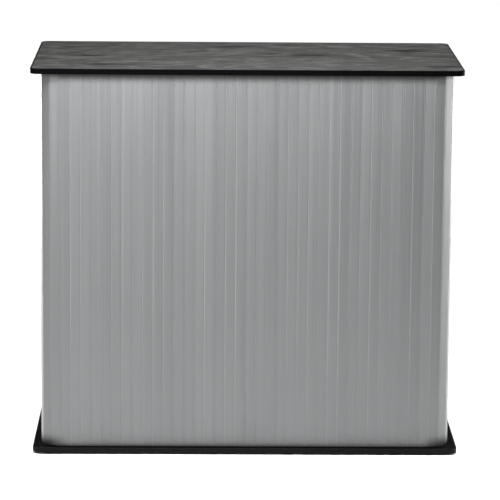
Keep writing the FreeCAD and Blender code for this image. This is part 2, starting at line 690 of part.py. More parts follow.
def flange(body, rise):
    """A round flange with countersunk screw holes, its screwed face at the origin.

    The flange stands up from the origin where rise is true, and hangs below it otherwise.
    """
    outline = new_sketch(body, "flange")
    draw_circle(outline, "sizes.flange_radius")
    extrude(body, "Pad", outline, "flange", "sizes.flange_thickness", backwards=not rise)


def drill_flange(body, rise):
    """Cuts the flange's screw holes, countersunk on the side away from the origin."""
    profile = new_sketch(body, "screw_hole", plane="XZ_Plane")
    profile.setExpression("AttachmentOffset.Base.x", "sizes.screw_circle")
    far = "sizes.flange_thickness"
    slope_end = "sizes.flange_thickness - sizes.screw_head_depth"
    minus = "" if rise else "-1 * "
    corners = [
        ("0", "0"),
        ("sizes.screw_radius", "0"),
        ("sizes.screw_radius", f"{minus}({slope_end})"),
        ("sizes.screw_head_radius", f"{minus}({far})"),
        ("0", f"{minus}({far})"),
    ]
    draw_half_profile(profile, corners if rise else list(reversed(corners)))
    hole = turn_about(body, "Groove", profile, "screw_hole")
    repeat_round(body, hole, "sizes.screws_per_flange")


def sleeve(body, rise):
    """The sleeve that stands on a flange, as long as its post needs for a firm hold."""
    outline = new_sketch(body, "sleeve")
    draw_circle(outline, "sizes.sleeve_radius")
    extrude(body, "Pad", outline, "sleeve", "sizes.sleeve_height", backwards=not rise)


def post_socket(label, x, y):
    body = new_body(label)
    flange(body, rise=True)
    sleeve(body, rise=True)
    bore = new_sketch(body, "bore", lift="sizes.sleeve_height")
    draw_circle(bore, BORE_RADIUS)
    extrude(body, "Pocket", bore, "bore", "sizes.sleeve_height - sizes.socket_floor")
    drill_flange(body, rise=True)
    place(body, x, y, BASE_TOP)


def post(label, x, y):
    body = new_body(label)
    section = new_sketch(body, "section")
    draw_circle(section, "sizes.post_radius")
    draw_circle(section, "sizes.post_radius - sizes.post_wall")
    extrude(body, "Pad", section, "tube", f"{POST_TOP} - {POST_BOTTOM}")
    place(body, x, y, POST_BOTTOM)


def post_cap(label, x, y):
    """A turned plug in the post's upper end, with a bore for the worktop's peg."""
    body = new_body(label)
    profile = new_sketch(body, "profile", plane="XZ_Plane")
    bore = "sizes.peg_radius + sizes.sleeve_gap"
    lead_in = "sizes.cap_flange - sizes.peg_chamfer"
    draw_half_profile(profile, [
        (bore, "-sizes.cap_depth"),
        ("sizes.post_radius - sizes.post_wall", "-sizes.cap_depth"),
        ("sizes.post_radius - sizes.post_wall", "0"),
        ("sizes.post_radius", "0"),
        ("sizes.post_radius", "sizes.cap_flange"),
        (f"{bore} + sizes.peg_chamfer", "sizes.cap_flange"),
        (bore, lead_in),
    ])
    turn_about(body, "Revolution", profile, "plug")
    place(body, x, y, POST_TOP)


def worktop_peg(label, x, y):
    """A flanged peg below the worktop, with a groove for its rubber ring."""
    body = new_body(label)
    flange(body, rise=False)
    profile = new_sketch(body, "peg", plane="XZ_Plane")
    tip = "(sizes.flange_thickness + sizes.peg_length)"
    ring_height = "(sizes.flange_thickness + sizes.ring_drop)"
    ring_floor = "sizes.peg_radius - 2 * sizes.ring_radius"
    draw_half_profile(profile, [
        ("0", f"-1 * {tip}"),
        ("sizes.peg_radius - sizes.peg_chamfer", f"-1 * {tip}"),
        ("sizes.peg_radius", f"sizes.peg_chamfer - {tip}"),
        ("sizes.peg_radius", f"-1 * {ring_height} - sizes.ring_radius"),
        (ring_floor, f"-1 * {ring_height} - sizes.ring_radius"),
        (ring_floor, f"sizes.ring_radius - {ring_height}"),
        ("sizes.peg_radius", f"sizes.ring_radius - {ring_height}"),
        ("sizes.peg_radius", "-sizes.flange_thickness"),
        ("0", "-sizes.flange_thickness"),
    ])
    turn_about(body, "Revolution", profile, "peg")
    drill_flange(body, rise=False)
    place(body, x, y, WORKTOP_UNDERSIDE)


def shelf_collar(label, x, y, side):
    """A flanged sleeve below the shelf, with a cross hole for its hand screw on the inner side."""
    body = new_body(label)
    flange(body, rise=False)
    sleeve(body, rise=False)
    bore = new_sketch(body, "bore")
    draw_circle(bore, BORE_RADIUS)
    extrude(body, "Pocket", bore, "bore", "sizes.sleeve_height")
    drill_flange(body, rise=False)
    cross = new_sketch(body, "cross_hole", plane="YZ_Plane")
    draw_circle(cross, "sizes.knob_shank_radius + sizes.sleeve_gap", y="sizes.knob_drop", x="0", sign_y=-1)
    extrude(body, "Pocket", cross, "cross_hole", "sizes.sleeve_radius", backwards=side == "left")
    place(body, x, y, SHELF_UNDERSIDE)


def collar_knob(label, x, y, side):
    """A fluted hand screw whose axis lies along X and whose tip stops just short of the post."""
    body = new_body(label)
    profile = new_sketch(body, "profile", plane="XZ_Plane")
    tip = "(sizes.post_radius + sizes.knob_tip_gap)"
    head = "(sizes.sleeve_radius + sizes.knob_collar_gap)"
    draw_half_profile(profile, [
        ("0", tip),
        ("sizes.knob_shank_radius", tip),
        ("sizes.knob_shank_radius", head),
        ("sizes.knob_radius - sizes.peg_chamfer", head),
        ("sizes.knob_radius", f"{head} + sizes.peg_chamfer"),
        ("sizes.knob_radius", f"{head} + sizes.knob_length - sizes.peg_chamfer"),
        ("sizes.knob_radius - sizes.peg_chamfer", f"{head} + sizes.knob_length"),
        ("0", f"{head} + sizes.knob_length"),
    ])
    turn_about(body, "Revolution", profile, "screw")
    flute_sketch = new_sketch(body, "flute", lift=f"{head} + sizes.knob_length")
    draw_circle(flute_sketch, "sizes.knob_flute_radius",
                x="sizes.knob_radius + sizes.knob_flute_radius - sizes.knob_flute_depth", y="0")
    flute = extrude(body, "Pocket", flute_sketch, "flute", "sizes.knob_length")
    repeat_round(body, flute, "sizes.knob_flutes")
    inward = 90 if side == "left" else -90
    place(body, x, y, f"{SHELF_UNDERSIDE} - sizes.knob_drop", inward, FreeCAD.Vector(0, 1, 0))


for end, side in CORNERS:
    corner = f"{end}_{side}"
    spot = (signed(SIDES[side], HALF_X), signed(ENDS[end], HALF_Y))
    post_socket(f"post_socket_{corner}", *spot)
    post(f"post_{corner}", *spot)
    post_cap(f"post_cap_{corner}", *spot)
    worktop_peg(f"worktop_peg_{corner}", *spot)
    shelf_collar(f"shelf_collar_{corner}", *spot, side)
    collar_knob(f"collar_knob_{corner}", *spot, side)

peg_rings = new_body("peg_rings")
ring_profile = new_sketch(peg_rings, "profile", plane="XZ_Plane")
draw_circle(ring_profile, "sizes.ring_radius", x="sizes.peg_radius - sizes.ring_radius", y="0")
ring = turn_about(peg_rings, "Revolution", ring_profile, "ring")
repeat_at_corners(peg_rings, ring, STRAIGHT_X, STRAIGHT_Y)
place(peg_rings, f"-{HALF_X}", f"-{HALF_Y}", f"{PEG_FLANGE_UNDERSIDE} - sizes.ring_drop")


# Shelf

shelf_board = new_body("shelf_board")
shelf_outline = new_sketch(shelf_board, "outline")
draw_rounded_rectangle(shelf_outline, f"{SHELF_LENGTH} - 2 * sizes.shelf_edging_thickness",
                       f"{SHELF_DEPTH} - 2 * sizes.shelf_edging_thickness",
                       f"{SHELF_CORNER} - sizes.shelf_edging_thickness")
for end, side in CORNERS:
    draw_circle(shelf_outline, "sizes.post_radius + sizes.shelf_hole_gap", HALF_X, HALF_Y,
                SIDES[side], ENDS[end])
extrude(shelf_board, "Pad", shelf_outline, "slab", "sizes.shelf_thickness")
drill_flange_holes(shelf_board, "0", from_top=False)
place(shelf_board, z=SHELF_UNDERSIDE)
place(edging("shelf_edging", SHELF_LENGTH, SHELF_DEPTH, SHELF_CORNER, "sizes.shelf_thickness",
             "sizes.shelf_edging_thickness"), z=SHELF_UNDERSIDE)


# Check and export

doc.recompute()
failed = [item.Label for item in doc.Objects if {"Invalid", "Error"} & set(item.State)]
if failed:
    raise RuntimeError(f"objects that failed to build: {failed}")
os.makedirs("parts", exist_ok=True)
for sub_part in sub_parts:
    if sub_part.Shape.isNull() or not sub_part.Shape.isValid():
        raise RuntimeError(f"{sub_part.Label} has no valid shape")
for sub_part in sub_parts:
    sub_part.Shape.exportStep(os.path.join("parts", f"{sub_part.Label}.step"))
    box = sub_part.Shape.BoundBox
    print(f"{sub_part.Label:28s} solids {len(sub_part.Shape.Solids):3d}  volume {sub_part.Shape.Volume:12.1f}"
          f"  x {box.XMin:7.1f} {box.XMax:7.1f}  y {box.YMin:7.1f} {box.YMax:7.1f}"
          f"  z {box.ZMin:6.1f} {box.ZMax:6.1f}")
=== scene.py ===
import bpy
import math
from mathutils import Matrix, Vector


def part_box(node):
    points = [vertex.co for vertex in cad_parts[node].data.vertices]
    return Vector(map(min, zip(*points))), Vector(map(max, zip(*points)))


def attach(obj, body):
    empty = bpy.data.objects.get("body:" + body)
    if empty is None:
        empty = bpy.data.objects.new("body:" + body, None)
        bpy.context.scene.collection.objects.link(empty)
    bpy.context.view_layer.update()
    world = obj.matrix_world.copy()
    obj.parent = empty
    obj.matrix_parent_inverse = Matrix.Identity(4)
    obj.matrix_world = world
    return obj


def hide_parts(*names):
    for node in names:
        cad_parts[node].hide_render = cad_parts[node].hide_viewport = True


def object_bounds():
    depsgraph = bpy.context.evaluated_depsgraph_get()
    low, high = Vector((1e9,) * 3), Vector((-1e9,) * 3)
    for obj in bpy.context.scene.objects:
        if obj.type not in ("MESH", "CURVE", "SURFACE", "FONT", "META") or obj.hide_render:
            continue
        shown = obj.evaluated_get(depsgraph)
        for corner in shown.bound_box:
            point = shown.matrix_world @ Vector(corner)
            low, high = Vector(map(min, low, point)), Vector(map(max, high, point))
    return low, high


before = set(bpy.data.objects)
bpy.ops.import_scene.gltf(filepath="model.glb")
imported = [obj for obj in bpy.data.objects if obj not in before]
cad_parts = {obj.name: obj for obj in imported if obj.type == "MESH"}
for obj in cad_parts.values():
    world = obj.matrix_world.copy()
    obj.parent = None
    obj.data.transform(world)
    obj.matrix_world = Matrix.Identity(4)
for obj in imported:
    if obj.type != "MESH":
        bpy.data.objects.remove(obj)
cad_low, cad_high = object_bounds()

# Rubber feet: four moulded discs of black rubber under the base board's corners, with a bevelled rim.
# One countersunk screw, sunk in a recess, holds each of them to the board.

CORNER_NAMES = [f"{end}_{side}" for end in ("front", "rear") for side in ("left", "right")]
RUBBER_STEPS = ((0.42, (0.010, 0.010, 0.011, 1)), (0.72, (0.026, 0.026, 0.027, 1)))
RUBBER_GRAIN = (900.0, 900.0, 900.0)
RUBBER_GRAIN_DEPTH = 0.00012
RUBBER_DUST = (60.0, 60.0, 60.0)
RUBBER_ROUGHNESS = (0.7, 0.92)
RUBBER_GLOSS = 0.3


def start_finish(name):
    """A new material, with its node tree, its shader and the coordinates of the piece it is on."""
    material = bpy.data.materials.new(name)
    material.use_nodes = True
    tree = material.node_tree
    place = tree.nodes.new("ShaderNodeTexCoord").outputs["Object"]
    return material, tree, tree.nodes["Principled BSDF"], place


def feed(tree, socket, value):
    """Gives a node's input a value, or joins it to another node's output."""
    if isinstance(value, bpy.types.NodeSocket):
        tree.links.new(value, socket)
    else:
        socket.default_value = value


def add_node(tree, kind, inputs=None, **settings):
    """Adds a node with these settings, and feeds its inputs."""
    node = tree.nodes.new(kind)
    for name, setting in settings.items():
        setattr(node, name, setting)
    for name, value in (inputs or {}).items():
        feed(tree, node.inputs[name], value)
    return node


def stretched_noise(tree, place, scales, detail=3.0, roughness=0.5, distortion=0.0):
    """Noise with its own number of grains to the metre along each axis."""
    stretch = add_node(tree, "ShaderNodeMapping", {"Vector": place, "Scale": scales})
    noise = add_node(tree, "ShaderNodeTexNoise", {
        "Vector": stretch.outputs["Vector"], "Scale": 1.0, "Detail": detail, "Roughness": roughness,
        "Distortion": distortion})
    return noise.outputs["Fac"]


def colour_steps(tree, amount, *steps):
    """Colours at places from 0 to 1 along a scale, blended between."""
    ramp = add_node(tree, "ShaderNodeValToRGB", {"Fac": amount})
    stops = ramp.color_ramp.elements
    while len(stops) < len(steps):
        stops.new(0.5)
    for stop, (position, colour) in zip(stops, steps):
        stop.position = position
        stop.color = colour
    return ramp.outputs["Color"]


def between(tree, amount, low, high, start=0.3, end=0.7):
    """A number that goes from low to high as the amount goes from start to end. Spans list all four."""
    span = add_node(tree, "ShaderNodeMapRange", {
        "Value": amount, "From Min": start, "From Max": end, "To Min": low, "To Max": high})
    return span.outputs["Result"]


def set_shader(tree, shader, **inputs):
    """Feeds the shader's inputs, which are named here with underscores for spaces."""
    for name, value in inputs.items():
        feed(tree, shader.inputs[name.replace("_", " ")], value)


def relief(tree, height, depth, strength=1.0):
    """The surface normal that a height pattern gives, with its depth in metres."""
    bump = add_node(tree, "ShaderNodeBump", {"Height": height, "Distance": depth, "Strength": strength})
    return bump.outputs["Normal"]


def dress(material, *names):
    """Puts a finish on the built pieces of these names."""
    for name in names:
        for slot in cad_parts[name].material_slots:
            slot.material = material


def dress_corners(material, kind):
    """Puts a finish on the four built pieces of a kind, one at each corner of the counter."""
    dress(material, *[f"{kind}_{corner}" for corner in CORNER_NAMES])


def rubber_finish():
    """Matt black rubber with a fine moulded grain and a little dust."""
    material, tree, shader, place = start_finish("foot_rubber")
    grain = stretched_noise(tree, place, RUBBER_GRAIN)
    dust = stretched_noise(tree, place, RUBBER_DUST, detail=5.0)
    set_shader(tree, shader, Base_Color=colour_steps(tree, dust, *RUBBER_STEPS),
               Roughness=between(tree, dust, *RUBBER_ROUGHNESS),
               Normal=relief(tree, grain, RUBBER_GRAIN_DEPTH), Specular_IOR_Level=RUBBER_GLOSS)
    return material


RUBBER = rubber_finish()
dress_corners(RUBBER, "foot")

# Screws: small countersunk wood screws of zinc-plated steel with a cross recess, turned in until their heads
# lie flush. The same screw holds the feet, the post sockets, the shelf collars and the worktop's pegs.

SCREW_HEAD_RADIUS = 0.0038
SCREW_HEAD_DEPTH = 0.0018
SCREW_SHANK_RADIUS = 0.0019
SCREW_TIP_RADIUS = 0.0004
SCREW_LENGTH = 0.011
RECESS_SPAN = 0.0042
RECESS_WIDTH = 0.0009
RECESS_DEPTH = 0.0013
SCREW_SIDES = 24
SCREW_SEED = 7
SHARPEST_TURN = 0.6
SCREW_CIRCLE = 0.025
SCREWS_PER_FLANGE = 3
CORNERS = [(side, end) for end in (-1, 1) for side in (-1, 1)]
STEEL_STEPS = ((0.35, (0.42, 0.42, 0.41, 1)), (0.65, (0.62, 0.61, 0.58, 1)))
STEEL_CLOUD = (420.0, 420.0, 420.0)
STEEL_MARKS = (2600.0, 2600.0, 2600.0)
STEEL_MARK_DEPTH = 0.00002
STEEL_ROUGHNESS = (0.28, 0.46)


def new_tree(name, inputs):
    """An empty tree of geometry nodes with these named inputs after its geometry."""
    tree = bpy.data.node_groups.new(name, "GeometryNodeTree")
    tree.interface.new_socket("Geometry", in_out="INPUT", socket_type="NodeSocketGeometry")
    for label, kind in inputs:
        tree.interface.new_socket(label, in_out="INPUT", socket_type=f"NodeSocket{kind}")
    tree.interface.new_socket("Geometry", in_out="OUTPUT", socket_type="NodeSocketGeometry")
    given = tree.nodes.new("NodeGroupInput").outputs
    return tree, given


def finish_tree(tree, instances, material):
    """Turns the instances into one plain mesh with its material, as the tree's result."""
    realized = add_node(tree, "GeometryNodeRealizeInstances", {"Geometry": instances})
    painted = add_node(tree, "GeometryNodeSetMaterial", {
        "Geometry": realized.outputs["Geometry"], "Material": material})
    add_node(tree, "NodeGroupOutput", {"Geometry": painted.outputs["Geometry"]})


def math_node(tree, operation, *values):
    """Plain arithmetic on values or other nodes' outputs."""
    return add_node(tree, "ShaderNodeMath", dict(enumerate(values)), operation=operation).outputs["Value"]


def vector_of(tree, x=0.0, y=0.0, z=0.0):
    """A vector put together from three numbers."""
    return add_node(tree, "ShaderNodeCombineXYZ", {"X": x, "Y": y, "Z": z}).outputs["Vector"]


def random_number(tree, low, high, seed):
    """A different number for each point, the same ones whenever the seed is the same."""
    draw = add_node(tree, "FunctionNodeRandomValue", {"Min": low, "Max": high, "Seed": seed},
                    data_type="FLOAT")
    return draw.outputs["Value"]


def moved(tree, geometry, **transform):
    """Geometry after a move, a turn or a change of size."""
    node = add_node(tree, "GeometryNodeTransform", {"Geometry": geometry, **transform})
    return node.outputs["Geometry"]


def hanging_cone(tree, sides, upper_radius, lower_radius, depth):
    """A tapered round piece that reaches down from the origin."""
    cone = add_node(tree, "GeometryNodeMeshCone", {
        "Vertices": sides, "Radius Top": upper_radius, "Radius Bottom": lower_radius, "Depth": depth})
    down = vector_of(tree, z=math_node(tree, "MULTIPLY", depth, -1.0))
    return moved(tree, cone.outputs["Mesh"], Translation=down)


def smooth_but_for_edges(tree, mesh):
    """Smooth shading, apart from edges that turn by more than the sharpest angle."""
    smooth = add_node(tree, "GeometryNodeSetShadeSmooth", {"Geometry": mesh})
    turn = add_node(tree, "GeometryNodeInputMeshEdgeAngle").outputs["Unsigned Angle"]
    sharp = add_node(tree, "FunctionNodeCompare", {"A": turn, "B": SHARPEST_TURN}, operation="GREATER_THAN")
    edged = add_node(tree, "GeometryNodeSetShadeSmooth", {
        "Geometry": smooth.outputs["Geometry"], "Selection": sharp.outputs["Result"], "Shade Smooth": False},
        domain="EDGE")
    return edged.outputs["Geometry"]


def screw_tree():
    """A cross-head screw at every point of a mesh, each turned in by a different amount."""
    tree, given = new_tree("countersunk_screws", [
        ("Head Radius", "Float"), ("Head Depth", "Float"), ("Shank Radius", "Float"),
        ("Tip Radius", "Float"), ("Length", "Float"), ("Recess Span", "Float"), ("Recess Width", "Float"),
        ("Recess Depth", "Float"), ("Sides", "Int"), ("Head Turn", "Float"), ("Seed", "Int"),
        ("Material", "Material")])
    sides = given["Sides"]
    head = hanging_cone(tree, sides, given["Head Radius"], given["Shank Radius"], given["Head Depth"])
    shank = hanging_cone(tree, sides, given["Shank Radius"], given["Tip Radius"], given["Length"])
    whole = add_node(tree, "GeometryNodeMeshBoolean", {"Mesh 2": head}, operation="UNION", solver="EXACT")
    tree.links.new(shank, whole.inputs["Mesh 2"])
    screw = whole.outputs["Mesh"]
    bar_size = vector_of(tree, given["Recess Span"], given["Recess Width"],
                         math_node(tree, "MULTIPLY", given["Recess Depth"], 2.0))
    bar = add_node(tree, "GeometryNodeMeshCube", {"Size": bar_size}).outputs["Mesh"]
    crossed = moved(tree, bar, Rotation=(0.0, 0.0, math.pi / 2))
    for slot in (bar, crossed):
        cut = add_node(tree, "GeometryNodeMeshBoolean", {"Mesh 1": screw, "Mesh 2": slot},
                       operation="DIFFERENCE", solver="EXACT")
        screw = cut.outputs["Mesh"]
    spin = random_number(tree, 0.0, math.pi, given["Seed"])
    set_in = add_node(tree, "GeometryNodeInstanceOnPoints", {
        "Points": given["Geometry"], "Instance": smooth_but_for_edges(tree, screw),
        "Rotation": vector_of(tree, given["Head Turn"], 0.0, spin)})
    finish_tree(tree, set_in.outputs["Instances"], given["Material"])
    return tree


def run_tree(name, mesh, tree, inputs):
    """Runs a tree on a mesh with these inputs, and gives the result as a plain mesh object."""
    piece = bpy.data.objects.new(name, mesh)
    bpy.context.scene.collection.objects.link(piece)
    modifier = piece.modifiers.new(tree.name, "NODES")
    modifier.node_group = tree
    for socket in tree.interface.items_tree:
        if socket.in_out == "INPUT" and socket.name in inputs:
            modifier[socket.identifier] = inputs[socket.name]
    depsgraph = bpy.context.evaluated_depsgraph_get()
    result = bpy.data.meshes.new_from_object(
        piece.evaluated_get(depsgraph), preserve_all_data_layers=True, depsgraph=depsgraph)
    piece.modifiers.clear()
    piece.data = result
    result.name = name
    return piece


def steel_finish():
    """Zinc-plated steel, a little cloudy and with fine turning marks."""
    material, tree, shader, place = start_finish("zinc_plated_steel")
    cloud = stretched_noise(tree, place, STEEL_CLOUD, detail=4.0)
    marks = stretched_noise(tree, place, STEEL_MARKS)
    set_shader(tree, shader, Base_Color=colour_steps(tree, cloud, *STEEL_STEPS), Metallic=1.0,
               Roughness=between(tree, cloud, *STEEL_ROUGHNESS),
               Normal=relief(tree, marks, STEEL_MARK_DEPTH))
    return material


STEEL = steel_finish()
SCREW_TREE = screw_tree()


def screw_set(name, replaced, body, spots, head_up):
    """Screws with their heads at these points, in place of the plain ones of a built piece."""
    points = bpy.data.meshes.new(name)
    points.from_pydata(spots, [], [])
    piece = run_tree(name, points, SCREW_TREE, {
        "Head Radius": SCREW_HEAD_RADIUS, "Head Depth": SCREW_HEAD_DEPTH, "Shank Radius": SCREW_SHANK_RADIUS,
        "Tip Radius": SCREW_TIP_RADIUS, "Length": SCREW_LENGTH, "Recess Span": RECESS_SPAN,
        "Recess Width": RECESS_WIDTH, "Recess Depth": RECESS_DEPTH, "Sides": SCREW_SIDES,
        "Head Turn": 0.0 if head_up else math.pi, "Seed": SCREW_SEED, "Material": STEEL})
    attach(piece, body)
    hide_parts(replaced)


def middle_of(name):
    """The middle of a built piece's box."""
    low_corner, high_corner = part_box(name)
    return (low_corner + high_corner) / 2


post_middle = middle_of("post_rear_right")


def flange_spots(height):
    """The screws' places on the four flanges about the posts, at one height."""
    spots = []
    for side, end in CORNERS:
        for i in range(SCREWS_PER_FLANGE):
            turn = 2 * math.pi * i / SCREWS_PER_FLANGE
            x = side * post_middle.x + SCREW_CIRCLE * math.cos(turn)
            y = end * post_middle.y + SCREW_CIRCLE * math.sin(turn)
            spots.append((x, y, height))
    return spots


foot_middle = middle_of("foot_rear_right")
foot_screw_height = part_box("foot_screws")[0].z
foot_spots = [(side * foot_middle.x, end * foot_middle.y, foot_screw_height) for side, end in CORNERS]
screw_set("foot_screw_set", "foot_screws", "carcass", foot_spots, head_up=False)

# Base board: a black-faced board with a groove round its top for the slats, and a black plastic strip
# glued round its edge with both arrises rounded.

# The first colours are the near-black painted shade on the boards' rims. The scuffed ones are the boards'
# own black.
RIM_SHADE_STEPS = ((0.35, (0.0008, 0.0008, 0.0009, 1)), (0.7, (0.0022, 0.0022, 0.0024, 1)))
SCUFFED_STEPS = ((0.4, (0.010, 0.010, 0.0104, 1)), (0.65, (0.024, 0.024, 0.0242, 1)))
BOARD_PORES = (160.0, 900.0, 900.0)
BOARD_PORE_DEPTH = 0.00005
BOARD_CLOUD = (5.0, 9.0, 9.0)
BOARD_RUBS = (30.0, 14.0, 30.0)
BOARD_ROUGHNESS = (0.48, 0.66)
RIM_FADE = 0.5
BASE_BOARD_GLOSS = 0.002
BASE_SHADED_RIM = 0.04
ARRIS = 0.0015
ARRIS_MATCH = (0.75, 0.98)
ARRIS_SAMPLES = 6
EDGING_LINES = (9.0, 9.0, 1500.0)
EDGING_LINE_DEPTH = 0.00003
EDGING_RUBS = (35.0, 35.0, 90.0)
EDGING_RUBBED = (0.0, 1.0, 0.5, 0.75)
EDGING_WORN = (0.022, 0.022, 0.023, 1)
EDGING_ROUGHNESS = (0.38, 0.55)
# The base's edging is a lighter copy of the one black edging, painted lighter for the light that falls on
# it.
LIT_BASE_EDGING_STEPS = ((0.3, (0.0018, 0.0018, 0.0019, 1)), (0.7, (0.0040, 0.0040, 0.0042, 1)))
BASE_EDGING_GLOSS = 0.045


def blend(tree, amount, first, second):
    """A colour between two others."""
    mix = add_node(tree, "ShaderNodeMix", {"Factor": amount, "A": first, "B": second}, data_type="RGBA")
    return mix.outputs["Result"]


def vector_math(tree, operation, *values):
    """Arithmetic on vectors, which gives either a Vector or a Value."""
    return add_node(tree, "ShaderNodeVectorMath", dict(enumerate(values)), operation=operation).outputs


def away_from_edge(tree, offset, reach, shaded_rim):
    """1 over the middle of a board, and 0 on the rim beside the edge at this reach, which is painted as
    shade.
    """
    fade_start = reach - (1 + RIM_FADE) * shaded_rim
    return between(tree, math_node(tree, "ABSOLUTE", offset), 1.0, 0.0, fade_start, reach - shaded_rim)


def black_board_finish(name, gloss, shaded_rim):
    """Black melamine face with fine pores, dulled by the goods put on it in the middle, and painted
    near-black as shade on a rim of this width.
    """
    material, tree, shader, place = start_finish(name)
    pores = stretched_noise(tree, place, BOARD_PORES, detail=2.0)
    cloud = stretched_noise(tree, place, BOARD_CLOUD, detail=6.0, roughness=0.6)
    rubs = stretched_noise(tree, place, BOARD_RUBS, detail=8.0, roughness=0.7)
    spot = add_node(tree, "ShaderNodeSeparateXYZ", {"Vector": place}).outputs
    # Painted shade: a rim along the edges is near-black, much darker than the scuffed middle.
    off_rim = math_node(tree, "MULTIPLY", away_from_edge(tree, spot["X"], cad_high.x, shaded_rim),
                     away_from_edge(tree, spot["Y"], cad_high.y, shaded_rim))
    rim_shade = colour_steps(tree, cloud, *RIM_SHADE_STEPS)
    scuffed = colour_steps(tree, rubs, *SCUFFED_STEPS)
    set_shader(tree, shader, Base_Color=blend(tree, off_rim, rim_shade, scuffed),
               Roughness=between(tree, cloud, *BOARD_ROUGHNESS),
               Normal=relief(tree, pores, BOARD_PORE_DEPTH), Specular_IOR_Level=gloss)
    return material


def near_an_edge(tree, radius):
    """0 on the flats and up to 1 on the arrises, from how far the normal turns within a radius."""
    rounded = add_node(tree, "ShaderNodeBevel", {"Radius": radius}, samples=ARRIS_SAMPLES).outputs["Normal"]
    true_normal = add_node(tree, "ShaderNodeNewGeometry").outputs["True Normal"]
    match = vector_math(tree, "DOT_PRODUCT", rounded, true_normal)["Value"]
    return between(tree, match, 1.0, 0.0, *ARRIS_MATCH)


def edging_finish(name, steps, gloss):
    """Black plastic strip with fine drawing lines along it, worn paler in places on its arrises."""
    material, tree, shader, place = start_finish(name)
    lines = stretched_noise(tree, place, EDGING_LINES, detail=2.0)
    rubs = stretched_noise(tree, place, EDGING_RUBS, detail=6.0, roughness=0.65)
    rub_and_highlight = math_node(tree, "MULTIPLY", near_an_edge(tree, ARRIS), between(tree, rubs, *EDGING_RUBBED))
    colour = blend(tree, rub_and_highlight, colour_steps(tree, lines, *steps), EDGING_WORN)
    set_shader(tree, shader, Base_Color=colour, Roughness=between(tree, rubs, *EDGING_ROUGHNESS),
               Normal=relief(tree, lines, EDGING_LINE_DEPTH), Specular_IOR_Level=gloss)
    return material


dress(black_board_finish("base_melamine", BASE_BOARD_GLOSS, BASE_SHADED_RIM), "base_board")
dress(edging_finish("lit_base_edging", LIT_BASE_EDGING_STEPS, BASE_EDGING_GLOSS), "base_edging")

# Post sockets: flanged cups moulded in black plastic, each screwed to the base board with three screws.
# A post stands in each of them.

PLASTIC_STEPS = ((0.35, (0.010, 0.010, 0.0105, 1)), (0.65, (0.018, 0.018, 0.019, 1)))
PLASTIC_TEXTURE = (1300.0, 1300.0, 1300.0)
PLASTIC_TEXTURE_DEPTH = 0.00006
PLASTIC_FLOW = (45.0, 45.0, 45.0)
PLASTIC_ROUGHNESS = (0.46, 0.6)
PLASTIC_RIM = 0.0008
PLASTIC_RIM_SHINE = 0.12
PLASTIC_GLOSS = 0.4


def black_plastic_finish():
    """Moulded black plastic with a fine spark-eroded texture, a little shinier on its rims."""
    material, tree, shader, place = start_finish("moulded_black_plastic")
    texture = stretched_noise(tree, place, PLASTIC_TEXTURE, detail=2.0)
    flow = stretched_noise(tree, place, PLASTIC_FLOW, detail=4.0)
    shine = math_node(tree, "MULTIPLY", near_an_edge(tree, PLASTIC_RIM), PLASTIC_RIM_SHINE)
    roughness = math_node(tree, "SUBTRACT", between(tree, flow, *PLASTIC_ROUGHNESS), shine)
    set_shader(tree, shader, Base_Color=colour_steps(tree, flow, *PLASTIC_STEPS), Roughness=roughness,
               Normal=relief(tree, texture, PLASTIC_TEXTURE_DEPTH), Specular_IOR_Level=PLASTIC_GLOSS)
    return material


BLACK_PLASTIC = black_plastic_finish()
dress_corners(BLACK_PLASTIC, "post_socket")
socket_spots = flange_spots(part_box("socket_screws")[1].z)
screw_set("socket_screw_set", "socket_screws", "carcass", socket_spots, head_up=True)

# Posts: satin anodised aluminium tubes that carry the worktop, with a moulded black plug in the upper end
# of each, bored for the worktop's peg.

ALUMINIUM_STEPS = ((0.3, (0.20, 0.202, 0.204, 1)), (0.7, (0.26, 0.262, 0.264, 1)))
ALUMINIUM_LINE_DEPTH = 0.00003
ALUMINIUM_CLOUD = (30.0, 30.0, 6.0)
ALUMINIUM_ROUGHNESS = (0.30, 0.44)
DRAWN_LINES = (1600.0, 1600.0, 4.0)


def aluminium_finish(name, line_scales):
    """Satin anodised aluminium with fine lines along the way it was drawn or turned."""
    material, tree, shader, place = start_finish(name)
    lines = stretched_noise(tree, place, line_scales, detail=2.0)
    cloud = stretched_noise(tree, place, ALUMINIUM_CLOUD, detail=5.0)
    set_shader(tree, shader, Base_Color=colour_steps(tree, lines, *ALUMINIUM_STEPS), Metallic=1.0,
               Roughness=between(tree, cloud, *ALUMINIUM_ROUGHNESS),
               Normal=relief(tree, lines, ALUMINIUM_LINE_DEPTH))
    return material


DRAWN_ALUMINIUM = aluminium_finish("drawn_aluminium", DRAWN_LINES)
dress_corners(DRAWN_ALUMINIUM, "post")
dress_corners(BLACK_PLASTIC, "post_cap")

# Slat wrap: hollow upright slats of silver plastic, extruded with a round bead on one edge and a hook on
# the other. Each hooks on to the next one's bead, so the wrap can turn the corners, and the ends of all of
# them stand in the boards' grooves.

